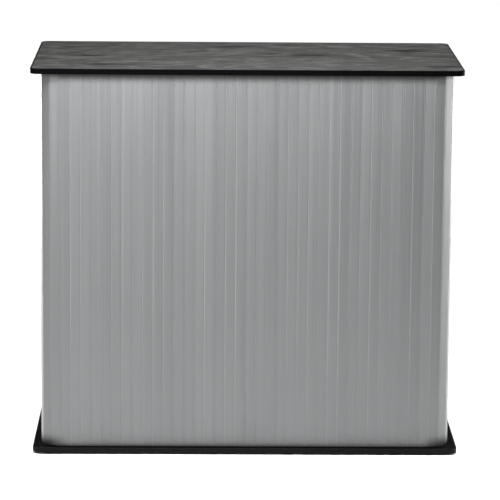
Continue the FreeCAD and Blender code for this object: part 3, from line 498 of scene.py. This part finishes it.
SLAT_PITCH = 0.025
FRONT_SLATS = 36
SIDE_SLATS = 15
CORNER_SLATS = 3
RETURN_SLATS = 2
CORNER_TURN = math.radians(30)
FACE = 0.0022
FACE_START = 0.0016
FACE_CROWN = 0.00010
FACE_ROUNDING = 0.00025
ROUNDING_CUT = 0.3 * FACE_ROUNDING
FACE_STEPS = 8
INSIDE = 0.0058
BEAD_RADIUS = 0.0025
BEAD_STEPS = 20
BEAD_MARGIN = 1.01
SOCKET_RADIUS = 0.00265
SOCKET_STEPS = 10
MOUTH_EASE = 6.0
HOOK_RADIUS = 0.00385
HOOK_STEPS = 6
NECK = 0.0008
SHOULDER = 0.0034
CHAMBER_EDGE = 0.0046
SLAT_WALL = 0.0012
LIP_ANGLE = 290.0
MERGE_DISTANCE = 1e-6
SLAT_TILT = math.radians(0.15)
SLAT_SEED = 11
SLAT_STEPS = ((0.2, (0.091, 0.0923, 0.0939, 1)), (0.8, (0.130, 0.1313, 0.1329, 1)))
SLAT_LINES = (900.0, 900.0, 3.0)
SLAT_LINE_DEPTH = 0.000012
SLAT_STREAKS = (85.0, 85.0, 0.8)
SLAT_HANDLING = (7.0, 7.0, 4.0)
SLAT_ROUGHNESS = (0.40, 0.50)
SLAT_METAL = 0.6
SLAT_GLOSS = 0.33
SHADE_WEIGHT = 0.3
STREAK_WEIGHT = 0.7
MIDDLE_TONE = 0.5
CONTRAST_BY_HEIGHT = (0.3, 1.3, 0.1, 0.9)
# The beads' lighter colour is partly rub wear and partly painted highlight, stronger on some slats and in
# the middle of the height.
BEAD_RUB_AND_HIGHLIGHT = (0.162, 0.1634, 0.1648, 1)
RUB_AND_HIGHLIGHT_SPREAD = 9.0
RUB_AND_HIGHLIGHT_SPAN = (0.1, 1.0, 0.1, 0.9)
BEAD_HIGHLIGHT_BELOW = (0.5, 0.9, 0.1, 0.4)
BEAD_HIGHLIGHT_ABOVE = (0.9, 0.4, 0.55, 0.9)
# Painted shade on the slats: near-black at the foot of the corners and sides, and in a band close under the
# worktop.
SLAT_PAINTED_SHADE = (0.018, 0.018, 0.0174, 1)
CORNER_SHADE_SPAN = (0.0, 1.0, 0.43, 0.475)
FOOT_SHADE_SPAN = (0.74, 0.0, 0.026, 0.044)
WORKTOP_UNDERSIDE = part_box("worktop_edging")[0].z
WORKTOP_SHADE_GAP = 0.003
WORKTOP_SHADE_FADE = 0.0105
WORKTOP_SHADE_EDGE = 0.002
WORKTOP_SHADE_LINE = WORKTOP_UNDERSIDE - WORKTOP_SHADE_GAP
WORKTOP_SHADE_BELOW = (0.0, 1.0, WORKTOP_SHADE_LINE - WORKTOP_SHADE_FADE, WORKTOP_SHADE_LINE)
WORKTOP_SHADE_ABOVE = (1.0, 0.0, WORKTOP_UNDERSIDE, WORKTOP_UNDERSIDE + WORKTOP_SHADE_EDGE)
WRAP_NODES = ["tambour_front", "tambour_left_side", "tambour_right_side", "tambour_left_return",
              "tambour_right_return"] + [f"tambour_{corner}_corner" for corner in CORNER_NAMES]


def arc(centre_x, radius, start, end, steps):
    """Points along an arc about a point on the track, from one angle to another in degrees."""
    turns = [math.radians(start + (end - start) * i / steps) for i in range(steps + 1)]
    return [(centre_x + radius * math.cos(turn), radius * math.sin(turn)) for turn in turns]


def slat_section():
    """A slat's outline from its own bead, at the origin, to the hook that holds the next bead."""
    mouth = math.sqrt(SOCKET_RADIUS ** 2 - FACE ** 2)
    mouth_angle = math.degrees(math.atan2(FACE, -mouth))
    hook_angle = 180 + math.degrees(math.asin(math.sqrt(HOOK_RADIUS ** 2 - SHOULDER ** 2) / HOOK_RADIUS))
    root_angle = math.degrees(math.asin(NECK / BEAD_RADIUS))
    face_angle = math.degrees(math.acos(FACE_START / BEAD_RADIUS))
    face_span = SLAT_PITCH - mouth - FACE_START - 2 * FACE_ROUNDING
    outline = [(FACE_START + ROUNDING_CUT, FACE - ROUNDING_CUT)]
    for i in range(FACE_STEPS + 1):
        share = i / FACE_STEPS
        rise = FACE_CROWN * (1 - (2 * share - 1) ** 2)
        outline.append((FACE_START + FACE_ROUNDING + share * face_span, FACE + rise))
    outline.append((SLAT_PITCH - mouth - ROUNDING_CUT, FACE - ROUNDING_CUT))
    outline += arc(SLAT_PITCH, SOCKET_RADIUS, mouth_angle + MOUTH_EASE, LIP_ANGLE, SOCKET_STEPS)
    outline += arc(SLAT_PITCH, HOOK_RADIUS, LIP_ANGLE, hook_angle, HOOK_STEPS)
    outline += [(SLAT_PITCH - SHOULDER, -INSIDE), (SHOULDER, -INSIDE), (SHOULDER, -NECK)]
    outline += arc(0.0, BEAD_RADIUS, 360 - root_angle, face_angle, BEAD_STEPS)
    chamber = [(CHAMBER_EDGE, SLAT_WALL - INSIDE), (SLAT_PITCH - CHAMBER_EDGE, SLAT_WALL - INSIDE),
               (SLAT_PITCH - CHAMBER_EDGE, FACE - SLAT_WALL), (CHAMBER_EDGE, FACE - SLAT_WALL)]
    return [outline, chamber]


def loops_mesh(name, loops):
    """A flat mesh of closed loops of edges."""
    points = []
    edges = []
    for loop in loops:
        first = len(points)
        points += [(x, y, 0.0) for x, y in loop]
        edges += [(first + i, first + (i + 1) % len(loop)) for i in range(len(loop))]
    mesh = bpy.data.meshes.new(name)
    mesh.from_pydata(points, edges, [])
    return mesh


def with_number(tree, geometry, name, value, domain):
    """Geometry that carries a number of this name, for its finish to read."""
    node = add_node(tree, "GeometryNodeStoreNamedAttribute", {
        "Geometry": geometry, "Name": name, "Value": value}, data_type="FLOAT", domain=domain)
    return node.outputs["Geometry"]


def single_slat(tree, given):
    """One closed slat of the section's outline, with its bead marked."""
    outline = add_node(tree, "GeometryNodeMeshToCurve", {"Mesh": given["Geometry"]}).outputs["Curve"]
    end_face = add_node(tree, "GeometryNodeFillCurve", {"Curve": outline}).outputs["Mesh"]
    walls = add_node(tree, "GeometryNodeExtrudeMesh", {
        "Mesh": end_face, "Offset": vector_of(tree, z=given["Length"]), "Offset Scale": 1.0,
        "Individual": False})
    lower_end = add_node(tree, "GeometryNodeFlipFaces", {"Mesh": end_face})
    both = add_node(tree, "GeometryNodeJoinGeometry", {"Geometry": walls.outputs["Mesh"]})
    tree.links.new(lower_end.outputs["Mesh"], both.inputs["Geometry"])
    closed = add_node(tree, "GeometryNodeMergeByDistance", {
        "Geometry": both.outputs["Geometry"], "Distance": MERGE_DISTANCE})
    slat = smooth_but_for_edges(tree, closed.outputs["Geometry"])
    position = add_node(tree, "GeometryNodeInputPosition").outputs["Position"]
    across = vector_math(tree, "MULTIPLY", position, (1.0, 1.0, 0.0))["Vector"]
    bead_reach = math_node(tree, "MULTIPLY", given["Bead Radius"], BEAD_MARGIN)
    on_bead = math_node(tree, "LESS_THAN", vector_math(tree, "LENGTH", across)["Value"], bead_reach)
    return with_number(tree, slat, "slat_bead", on_bead, "POINT")


def track_of_slats(tree, given):
    """How many slats the track takes, and the way that each of them points."""
    index = add_node(tree, "GeometryNodeInputIndex").outputs["Index"]
    corner_starts = [given["Return Slats"]]
    for run in ("Side Slats", "Front Slats", "Side Slats"):
        past_corner = math_node(tree, "ADD", corner_starts[-1], given["Corner Slats"])
        corner_starts.append(math_node(tree, "ADD", past_corner, given[run]))
    heading = 0.0
    for start in corner_starts:
        # A slat in a corner is a chord of the bend, so it points half a slat's turn past its bead.
        slats_in = math_node(tree, "ADD", math_node(tree, "SUBTRACT", index, start), 0.5)
        turned = math_node(tree, "MULTIPLY", slats_in, given["Corner Turn"])
        turned = add_node(tree, "ShaderNodeClamp", {"Value": turned, "Min": 0.0, "Max": math.pi / 2})
        heading = math_node(tree, "SUBTRACT", heading, turned.outputs["Result"])
    past_corner = math_node(tree, "ADD", corner_starts[-1], given["Corner Slats"])
    return math_node(tree, "ADD", past_corner, given["Return Slats"]), heading


def wrap_tree():
    """Slats of one section along a track that turns four corners, traced clockwise from the open back."""
    tree, given = new_tree("slat_wrap", [
        ("Pitch", "Float"), ("Front Slats", "Int"), ("Side Slats", "Int"), ("Corner Slats", "Int"),
        ("Return Slats", "Int"), ("Corner Turn", "Float"), ("Start", "Vector"), ("Length", "Float"),
        ("Bead Radius", "Float"), ("Tilt", "Float"), ("Seed", "Int"), ("Material", "Material")])
    slat_count, heading = track_of_slats(tree, given)
    step = vector_of(tree, math_node(tree, "MULTIPLY", given["Pitch"], math_node(tree, "COSINE", heading)),
                     math_node(tree, "MULTIPLY", given["Pitch"], math_node(tree, "SINE", heading)))
    travelled = add_node(tree, "GeometryNodeAccumulateField", {"Value": step}, data_type="FLOAT_VECTOR")
    spot = vector_math(tree, "ADD", given["Start"], travelled.outputs["Trailing"])["Vector"]
    beads = add_node(tree, "GeometryNodeMeshLine", {"Count": slat_count, "Offset": (0.0, 0.0, 0.0)})
    track = add_node(tree, "GeometryNodeSetPosition", {"Geometry": beads.outputs["Mesh"], "Position": spot})
    lean = math_node(tree, "MULTIPLY", random_number(tree, -1.0, 1.0, given["Seed"]), given["Tilt"])
    turn = math_node(tree, "ADD", heading, lean)
    hooked = add_node(tree, "GeometryNodeInstanceOnPoints", {
        "Points": track.outputs["Geometry"], "Instance": single_slat(tree, given),
        "Rotation": vector_of(tree, z=turn)})
    shade = random_number(tree, 0.0, 1.0, math_node(tree, "ADD", given["Seed"], 1.0))
    shaded = with_number(tree, hooked.outputs["Instances"], "slat_shade", shade, "INSTANCE")
    finish_tree(tree, shaded, given["Material"])
    return tree


def weighted_sum(tree, *terms):
    """The sum of several amounts, each with its own weight."""
    total = 0.0
    for amount, weight in terms:
        total = math_node(tree, "ADD", total, math_node(tree, "MULTIPLY", amount, weight))
    return total


def slat_finish():
    """Satin silver plastic with extrusion streaks and each slat its own shade, its bead lighter from rub
    wear and painted highlight.
    Painted shade darkens the foot of the corners and sides, and a band close under the worktop."""
    material, tree, shader, place = start_finish("silver_slats")
    lines = stretched_noise(tree, place, SLAT_LINES, detail=2.0)
    streaks = stretched_noise(tree, place, SLAT_STREAKS, detail=4.0, roughness=0.6)
    handling = stretched_noise(tree, place, SLAT_HANDLING, detail=6.0, roughness=0.6)
    shade = add_node(tree, "ShaderNodeAttribute", attribute_name="slat_shade").outputs["Fac"]
    bead = add_node(tree, "ShaderNodeAttribute", attribute_name="slat_bead").outputs["Fac"]
    spot = add_node(tree, "ShaderNodeSeparateXYZ", {"Vector": place}).outputs
    height = spot["Z"]
    tone = weighted_sum(tree, (shade, SHADE_WEIGHT), (streaks, STREAK_WEIGHT))
    spread = math_node(tree, "MULTIPLY", math_node(tree, "SUBTRACT", tone, MIDDLE_TONE),
                       between(tree, height, *CONTRAST_BY_HEIGHT))
    face = colour_steps(tree, math_node(tree, "ADD", spread, MIDDLE_TONE), *SLAT_STEPS)
    # The beads' painted highlight and rub wear: stronger on some slats than others, and strongest in the
    # middle of the height.
    rub_and_highlight = math_node(tree, "FRACT", math_node(tree, "MULTIPLY", shade, RUB_AND_HIGHLIGHT_SPREAD))
    highlight_by_height = math_node(tree, "MINIMUM", between(tree, height, *BEAD_HIGHLIGHT_BELOW),
                        between(tree, height, *BEAD_HIGHLIGHT_ABOVE))
    bead_rub_and_highlight = math_node(tree, "MULTIPLY", between(tree, rub_and_highlight, *RUB_AND_HIGHLIGHT_SPAN), highlight_by_height)
    bead_rub_and_highlight = math_node(tree, "MULTIPLY", bead, bead_rub_and_highlight)
    # Painted shade: darkens the foot of the corners and sides, and a band just below the worktop's underside
    # that fades downwards.
    by_corner = between(tree, math_node(tree, "ABSOLUTE", spot["X"]), *CORNER_SHADE_SPAN)
    foot_shade = math_node(tree, "MULTIPLY", by_corner, between(tree, height, *FOOT_SHADE_SPAN))
    worktop_shade = math_node(tree, "MINIMUM", between(tree, height, *WORKTOP_SHADE_BELOW),
                              between(tree, height, *WORKTOP_SHADE_ABOVE))
    painted_shade = math_node(tree, "MAXIMUM", foot_shade, worktop_shade)
    colour = blend(tree, painted_shade, blend(tree, bead_rub_and_highlight, face, BEAD_RUB_AND_HIGHLIGHT), SLAT_PAINTED_SHADE)
    set_shader(tree, shader, Base_Color=colour, Metallic=SLAT_METAL,
               Roughness=between(tree, handling, *SLAT_ROUGHNESS),
               Normal=relief(tree, lines, SLAT_LINE_DEPTH), Specular_IOR_Level=SLAT_GLOSS)
    return material


track_radius = SLAT_PITCH / (2 * math.sin(CORNER_TURN / 2))
half_front = FRONT_SLATS * SLAT_PITCH / 2
track_rear = SIDE_SLATS * SLAT_PITCH / 2 + track_radius
slat_low, slat_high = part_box("tambour_front")
slat_wrap = run_tree("slat_wrap", loops_mesh("slat_section", slat_section()), wrap_tree(), {
    "Pitch": SLAT_PITCH, "Front Slats": FRONT_SLATS, "Side Slats": SIDE_SLATS, "Corner Slats": CORNER_SLATS,
    "Return Slats": RETURN_SLATS, "Corner Turn": CORNER_TURN,
    "Start": (half_front - RETURN_SLATS * SLAT_PITCH, track_rear, slat_low.z),
    "Length": slat_high.z - slat_low.z, "Bead Radius": BEAD_RADIUS, "Tilt": SLAT_TILT, "Seed": SLAT_SEED,
    "Material": slat_finish()})
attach(slat_wrap, "carcass")
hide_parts(*WRAP_NODES)

# End stiles: aluminium channels that close the wrap's two free edges beside the open back. Steel pins in
# their ends stand in the boards' grooves.

dress(DRAWN_ALUMINIUM, "left_end_stile", "right_end_stile")
dress(STEEL, "stile_pins")

# Shelf: a black board with a thin black edging that slides on the posts. Plastic collars are screwed below
# it, and a fluted hand screw in each clamps the shelf at the height that is wanted.

INNER_BOARD_GLOSS = 0.2
INNER_SHADED_RIM = 0.02
# The worktop's and shelf's edging is a darker copy of the base's, painted darker as shade.
SHADED_EDGING_STEPS = ((0.3, (0.0005, 0.0005, 0.0006, 1)), (0.7, (0.0012, 0.0012, 0.0013, 1)))
EDGING_GLOSS = 0.008

INNER_BOARD = black_board_finish("inner_melamine", INNER_BOARD_GLOSS, INNER_SHADED_RIM)
SHADED_EDGING = edging_finish("shaded_black_edging", SHADED_EDGING_STEPS, EDGING_GLOSS)
dress(INNER_BOARD, "shelf_board")
dress(SHADED_EDGING, "shelf_edging")
dress_corners(BLACK_PLASTIC, "shelf_collar")
dress_corners(BLACK_PLASTIC, "collar_knob")
collar_spots = flange_spots(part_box("collar_screws")[0].z)
screw_set("collar_screw_set", "collar_screws", "shelf", collar_spots, head_up=False)

# Worktop: a black board and edging like the base's, with a dark wood-grain laminate glued on its top face.
# Turned aluminium pegs, screwed below it, drop into the post caps, and a rubber ring on each grips there.

LAMINATE_CORNER = 0.018
TRIM_WIDTH = 0.0028
TRIM_SOLID = 0.7
TRIMMED_EDGE = (0.003, 0.003, 0.003, 1)
WOOD_STEPS = ((0.23, (0.0008, 0.0008, 0.0007, 1)), (0.43, (0.0145, 0.0144, 0.0140, 1)),
              (0.63, (0.049, 0.0488, 0.0474, 1)))
WOOD_ROUGHNESS = (0.66, 0.54, 0.23, 0.63)
WOOD_DEPTH = 0.00012
WOOD_STRENGTH = 0.6
WOOD_GLOSS = 0.03
SWAY = (2.2, 7.0, 1.0)
SWAY_PULL = 0.06
KNOTS = (4.0, 9.5, 1.0)
KNOT_SIZE = (1.0, 0.0, 0.04, 0.26)
KNOT_PULL = 0.014
CLOUD = (22.0, 36.0, 1.0)
FIGURE = (34.0, 110.0, 1.0)
GRAIN = (5.0, 150.0, 1.0)
FIBRES = (20.0, 520.0, 1.0)
PORES = (90.0, 1500.0, 1.0)
PORE_SIZE = (0.0, 0.1, 0.58, 0.7)
GROWTH = (1.6, 6.5, 1.0)
RING_COUNT = 15.0
RING_RAGGEDNESS = 0.012
RING_END = (1.0, 0.0, 0.8, 1.0)
RING_MIDDLE = 0.4
CLOUD_WEIGHT = 0.28
FIGURE_WEIGHT = 0.20
RING_WEIGHT = -0.13
GRAIN_WEIGHT = 0.26
FIBRE_WEIGHT = 0.16
KNOT_WEIGHT = -0.18
PORE_WEIGHT = -1.0
TURNED_LINES = (30.0, 30.0, 2200.0)


def near_the_rim(tree, place):
    """1 along the laminate's trimmed edge, straight sides and round corners alike, and 0 inside it."""
    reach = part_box("worktop_laminate")[1]
    # A height above the laminate's own, so that only the way across the worktop counts.
    straight = (reach.x - LAMINATE_CORNER, reach.y - LAMINATE_CORNER, 2 * reach.z)
    spot = vector_math(tree, "ABSOLUTE", place)["Vector"]
    past = vector_math(tree, "SUBTRACT", spot, straight)["Vector"]
    past = vector_math(tree, "MAXIMUM", past, (0.0, 0.0, 0.0))["Vector"]
    out = vector_math(tree, "LENGTH", past)["Value"]
    trim_start = LAMINATE_CORNER - TRIM_WIDTH
    return between(tree, out, 0.0, 1.0, trim_start, LAMINATE_CORNER - TRIM_SOLID * TRIM_WIDTH)


def woodgrain_finish():
    """Dark wood-grain laminate: rings and a cloudy figure along the counter, knots, fibres and pores."""
    material, tree, shader, place = start_finish("dark_woodgrain")
    sway = stretched_noise(tree, place, SWAY, detail=2.0)
    knot_places = add_node(tree, "ShaderNodeMapping", {"Vector": place, "Scale": KNOTS}).outputs["Vector"]
    knots = add_node(tree, "ShaderNodeTexVoronoi", {"Vector": knot_places, "Scale": 1.0}).outputs["Distance"]
    knot = between(tree, knots, *KNOT_SIZE)
    pull = weighted_sum(tree, (sway, SWAY_PULL), (knot, KNOT_PULL))
    bent = vector_math(tree, "ADD", place, vector_of(tree, y=pull))["Vector"]
    cloud = stretched_noise(tree, bent, CLOUD, detail=4.0, roughness=0.6, distortion=0.4)
    figure = stretched_noise(tree, bent, FIGURE, detail=4.0, roughness=0.6, distortion=0.5)
    grain = stretched_noise(tree, bent, GRAIN, detail=4.0, roughness=0.6, distortion=0.3)
    fibres = stretched_noise(tree, bent, FIBRES, detail=3.0, roughness=0.6)
    pores = between(tree, stretched_noise(tree, bent, PORES, detail=1.0), *PORE_SIZE)
    growth = stretched_noise(tree, bent, GROWTH, detail=2.0, roughness=0.4, distortion=0.3)
    growth = math_node(tree, "ADD", growth, math_node(tree, "MULTIPLY", fibres, RING_RAGGEDNESS))
    rings = math_node(tree, "FRACT", math_node(tree, "MULTIPLY", growth, RING_COUNT))
    rings = math_node(tree, "MINIMUM", rings, between(tree, rings, *RING_END))
    rings = math_node(tree, "SUBTRACT", rings, RING_MIDDLE)
    tone = weighted_sum(tree, (cloud, CLOUD_WEIGHT), (figure, FIGURE_WEIGHT), (rings, RING_WEIGHT),
                        (grain, GRAIN_WEIGHT), (fibres, FIBRE_WEIGHT), (knot, KNOT_WEIGHT),
                        (pores, PORE_WEIGHT))
    colour = blend(tree, near_the_rim(tree, place), colour_steps(tree, tone, *WOOD_STEPS), TRIMMED_EDGE)
    set_shader(tree, shader, Base_Color=colour, Roughness=between(tree, tone, *WOOD_ROUGHNESS),
               Normal=relief(tree, tone, WOOD_DEPTH, WOOD_STRENGTH), Specular_IOR_Level=WOOD_GLOSS)
    return material


dress(INNER_BOARD, "worktop_board")
dress(SHADED_EDGING, "worktop_edging")
dress(woodgrain_finish(), "worktop_laminate")
dress_corners(aluminium_finish("turned_aluminium", TURNED_LINES), "worktop_peg")
dress(RUBBER, "peg_rings")
peg_spots = flange_spots(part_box("peg_screws")[0].z)
screw_set("peg_screw_set", "peg_screws", "worktop", peg_spots, head_up=False)

# Floor: a wide floor of white matt paint for the counter to stand on.
# It isn't a part of the counter, and only shows its shadow and how it stands.

FLOOR_REACH = 60.0
FLOOR_STEPS = ((0.3, (0.91, 0.91, 0.91, 1)), (0.7, (0.93, 0.93, 0.93, 1)))
FLOOR_CLOUD = (0.8, 0.8, 0.8)
FLOOR_ROUGHNESS = 0.9
FLOOR_GLOSS = 0.1


def floor_finish():
    """White matt paint, very slightly uneven."""
    material, tree, shader, place = start_finish("pale_floor")
    cloud = stretched_noise(tree, place, FLOOR_CLOUD)
    set_shader(tree, shader, Base_Color=colour_steps(tree, cloud, *FLOOR_STEPS), Roughness=FLOOR_ROUGHNESS,
               Specular_IOR_Level=FLOOR_GLOSS)
    return material


floor_corners = [(x * FLOOR_REACH, y * FLOOR_REACH, 0.0) for x, y in ((-1, -1), (1, -1), (1, 1), (-1, 1))]
floor_mesh = bpy.data.meshes.new("floor")
floor_mesh.from_pydata(floor_corners, [], [(0, 1, 2, 3)])
floor_mesh.materials.append(floor_finish())
floor = bpy.data.objects.new("floor", floor_mesh)
bpy.context.scene.collection.objects.link(floor)

# Studio light: a broad soft light from the ceiling in a dark surround, strips above the front edge, and
# panels left of the camera, on both sides, over the worktop and, two low ones, behind the open back. They
# are set for the front's even silver-grey, which is lighter at the top left.

AMBIENT = (0.02, 0.02, 0.02, 1)
BACKDROP = (1.0, 1.0, 1.0, 1)
CEILING_SPREAD = 25.0
CEILING_STRENGTH = 3.5
FRONT_TOP = (-0.12, -0.225, 0.88)
FRONT_TOP_LEFT = (-0.3, -0.225, 0.88)
REAR_TOP = (0.15, 0.28, 0.95)
FRONT_LEFT = (-0.2, -0.25, 0.5)
FRONT_LOW = (0.0, -0.2, 0.2)
MIDDLE = (0.0, 0.0, 0.5)
LOW = (0.0, 0.0, 0.25)
PANELS = [
    # name, azimuth round from the front, elevation, distance, width, height, watts, the point it faces
    ("front_strip", 0.0, 47.0, 1.0, 1.15, 0.33, 45.0, FRONT_TOP),
    ("front_left_strip", -20.0, 45.0, 1.0, 0.8, 0.25, 19.0, FRONT_TOP_LEFT),
    ("front_low_strip", 0.0, 30.0, 1.0, 1.0, 0.2, 5.5, FRONT_TOP),
    ("camera_left_panel", -40.0, 10.0, 1.6, 0.8, 0.8, 5.0, FRONT_LEFT),
    ("camera_low_panel", -15.0, 3.0, 2.0, 0.8, 0.4, 3.3, FRONT_LOW),
    ("right_panel", 97.0, 8.0, 2.5, 0.8, 1.3, 49.6, MIDDLE),
    ("right_rear_panel", 120.0, 8.0, 2.5, 0.8, 1.3, 27.5, MIDDLE),
    ("left_low_panel", -80.0, 2.0, 2.0, 0.8, 0.4, 3.0, LOW),
    ("worktop_panel", 180.0, 74.0, 0.9, 1.0, 0.4, 28.5, REAR_TOP),
    ("rear_left_panel", 215.0, 0.0, 2.5, 0.8, 0.8, 58.0, MIDDLE),
    ("rear_right_panel", 150.0, 0.0, 2.5, 0.8, 0.8, 22.0, MIDDLE),
]


def panel(name, azimuth, elevation, distance, width, height, watts, aim):
    """A rectangular light that faces a point from a direction given in degrees."""
    turn = math.radians(azimuth)
    rise = math.radians(elevation)
    away = Vector((math.sin(turn) * math.cos(rise), -math.cos(turn) * math.cos(rise), math.sin(rise)))
    light = bpy.data.lights.new(name, "AREA")
    light.shape = "RECTANGLE"
    light.size = width
    light.size_y = height
    light.energy = watts
    holder = bpy.data.objects.new(name, light)
    holder.location = Vector(aim) + distance * away
    holder.rotation_euler = (-away).to_track_quat("-Z", "Y").to_euler()
    holder.visible_camera = False
    bpy.context.scene.collection.objects.link(holder)


for settings in PANELS:
    panel(*settings)
ceiling = bpy.data.lights.new("ceiling_light", "SUN")
ceiling.angle = math.radians(CEILING_SPREAD)
ceiling.energy = CEILING_STRENGTH
bpy.context.scene.collection.objects.link(bpy.data.objects.new("ceiling_light", ceiling))

world = bpy.data.worlds.new("studio")
bpy.context.scene.world = world
world.use_nodes = True
world_tree = world.node_tree
surround = world_tree.nodes["Background"]
surround.inputs["Color"].default_value = AMBIENT
backdrop = add_node(world_tree, "ShaderNodeBackground", {"Color": BACKDROP})
seen = add_node(world_tree, "ShaderNodeLightPath").outputs["Is Camera Ray"]
choice = add_node(world_tree, "ShaderNodeMixShader", {
    0: seen, 1: surround.outputs["Background"], 2: backdrop.outputs["Background"]})
world_tree.links.new(choice.outputs["Shader"], world_tree.nodes["World Output"].inputs["Surface"])
bpy.context.scene.view_settings.view_transform = "Standard"

# Camera: a long lens a little left of the counter's middle, looking slightly down at its front. It stands
# where the outline fits the photograph's, and a small shift keeps the upright lines closer to parallel.

PHOTO_SIZE = 500.0
FOCAL_PIXELS = 2813.6
SENSOR = 36.0
FAR_CLIP = 3 * FLOOR_REACH
CAMERA_DISTANCE = 6.645
CAMERA_X = -0.1038
CAMERA_HEIGHT = 1.8822
CAMERA_PITCH = math.radians(11.037)
CAMERA_YAW = math.radians(0.963)
CAMERA_ROLL = math.radians(0.462)
CAMERA_SHIFT = -0.06

lens = bpy.data.cameras.new("photo_camera")
lens.sensor_width = SENSOR
lens.lens = FOCAL_PIXELS / PHOTO_SIZE * SENSOR
lens.shift_y = CAMERA_SHIFT
lens.clip_end = FAR_CLIP
camera = bpy.data.objects.new("photo_camera", lens)
ahead = math.cos(CAMERA_PITCH)
down = math.sin(CAMERA_PITCH)
forward = Vector((math.sin(CAMERA_YAW) * ahead, math.cos(CAMERA_YAW) * ahead, -down))
level = Vector((math.cos(CAMERA_YAW), -math.sin(CAMERA_YAW), 0.0))
upright = level.cross(forward)
right = math.cos(CAMERA_ROLL) * level + math.sin(CAMERA_ROLL) * upright
above = math.cos(CAMERA_ROLL) * upright - math.sin(CAMERA_ROLL) * level
camera_turn = Matrix((right, above, -forward)).transposed().to_4x4()
camera_spot = Matrix.Translation((CAMERA_X, cad_low.y - CAMERA_DISTANCE, CAMERA_HEIGHT))
camera.matrix_world = camera_spot @ camera_turn
bpy.context.scene.collection.objects.link(camera)
bpy.context.scene.camera = camera
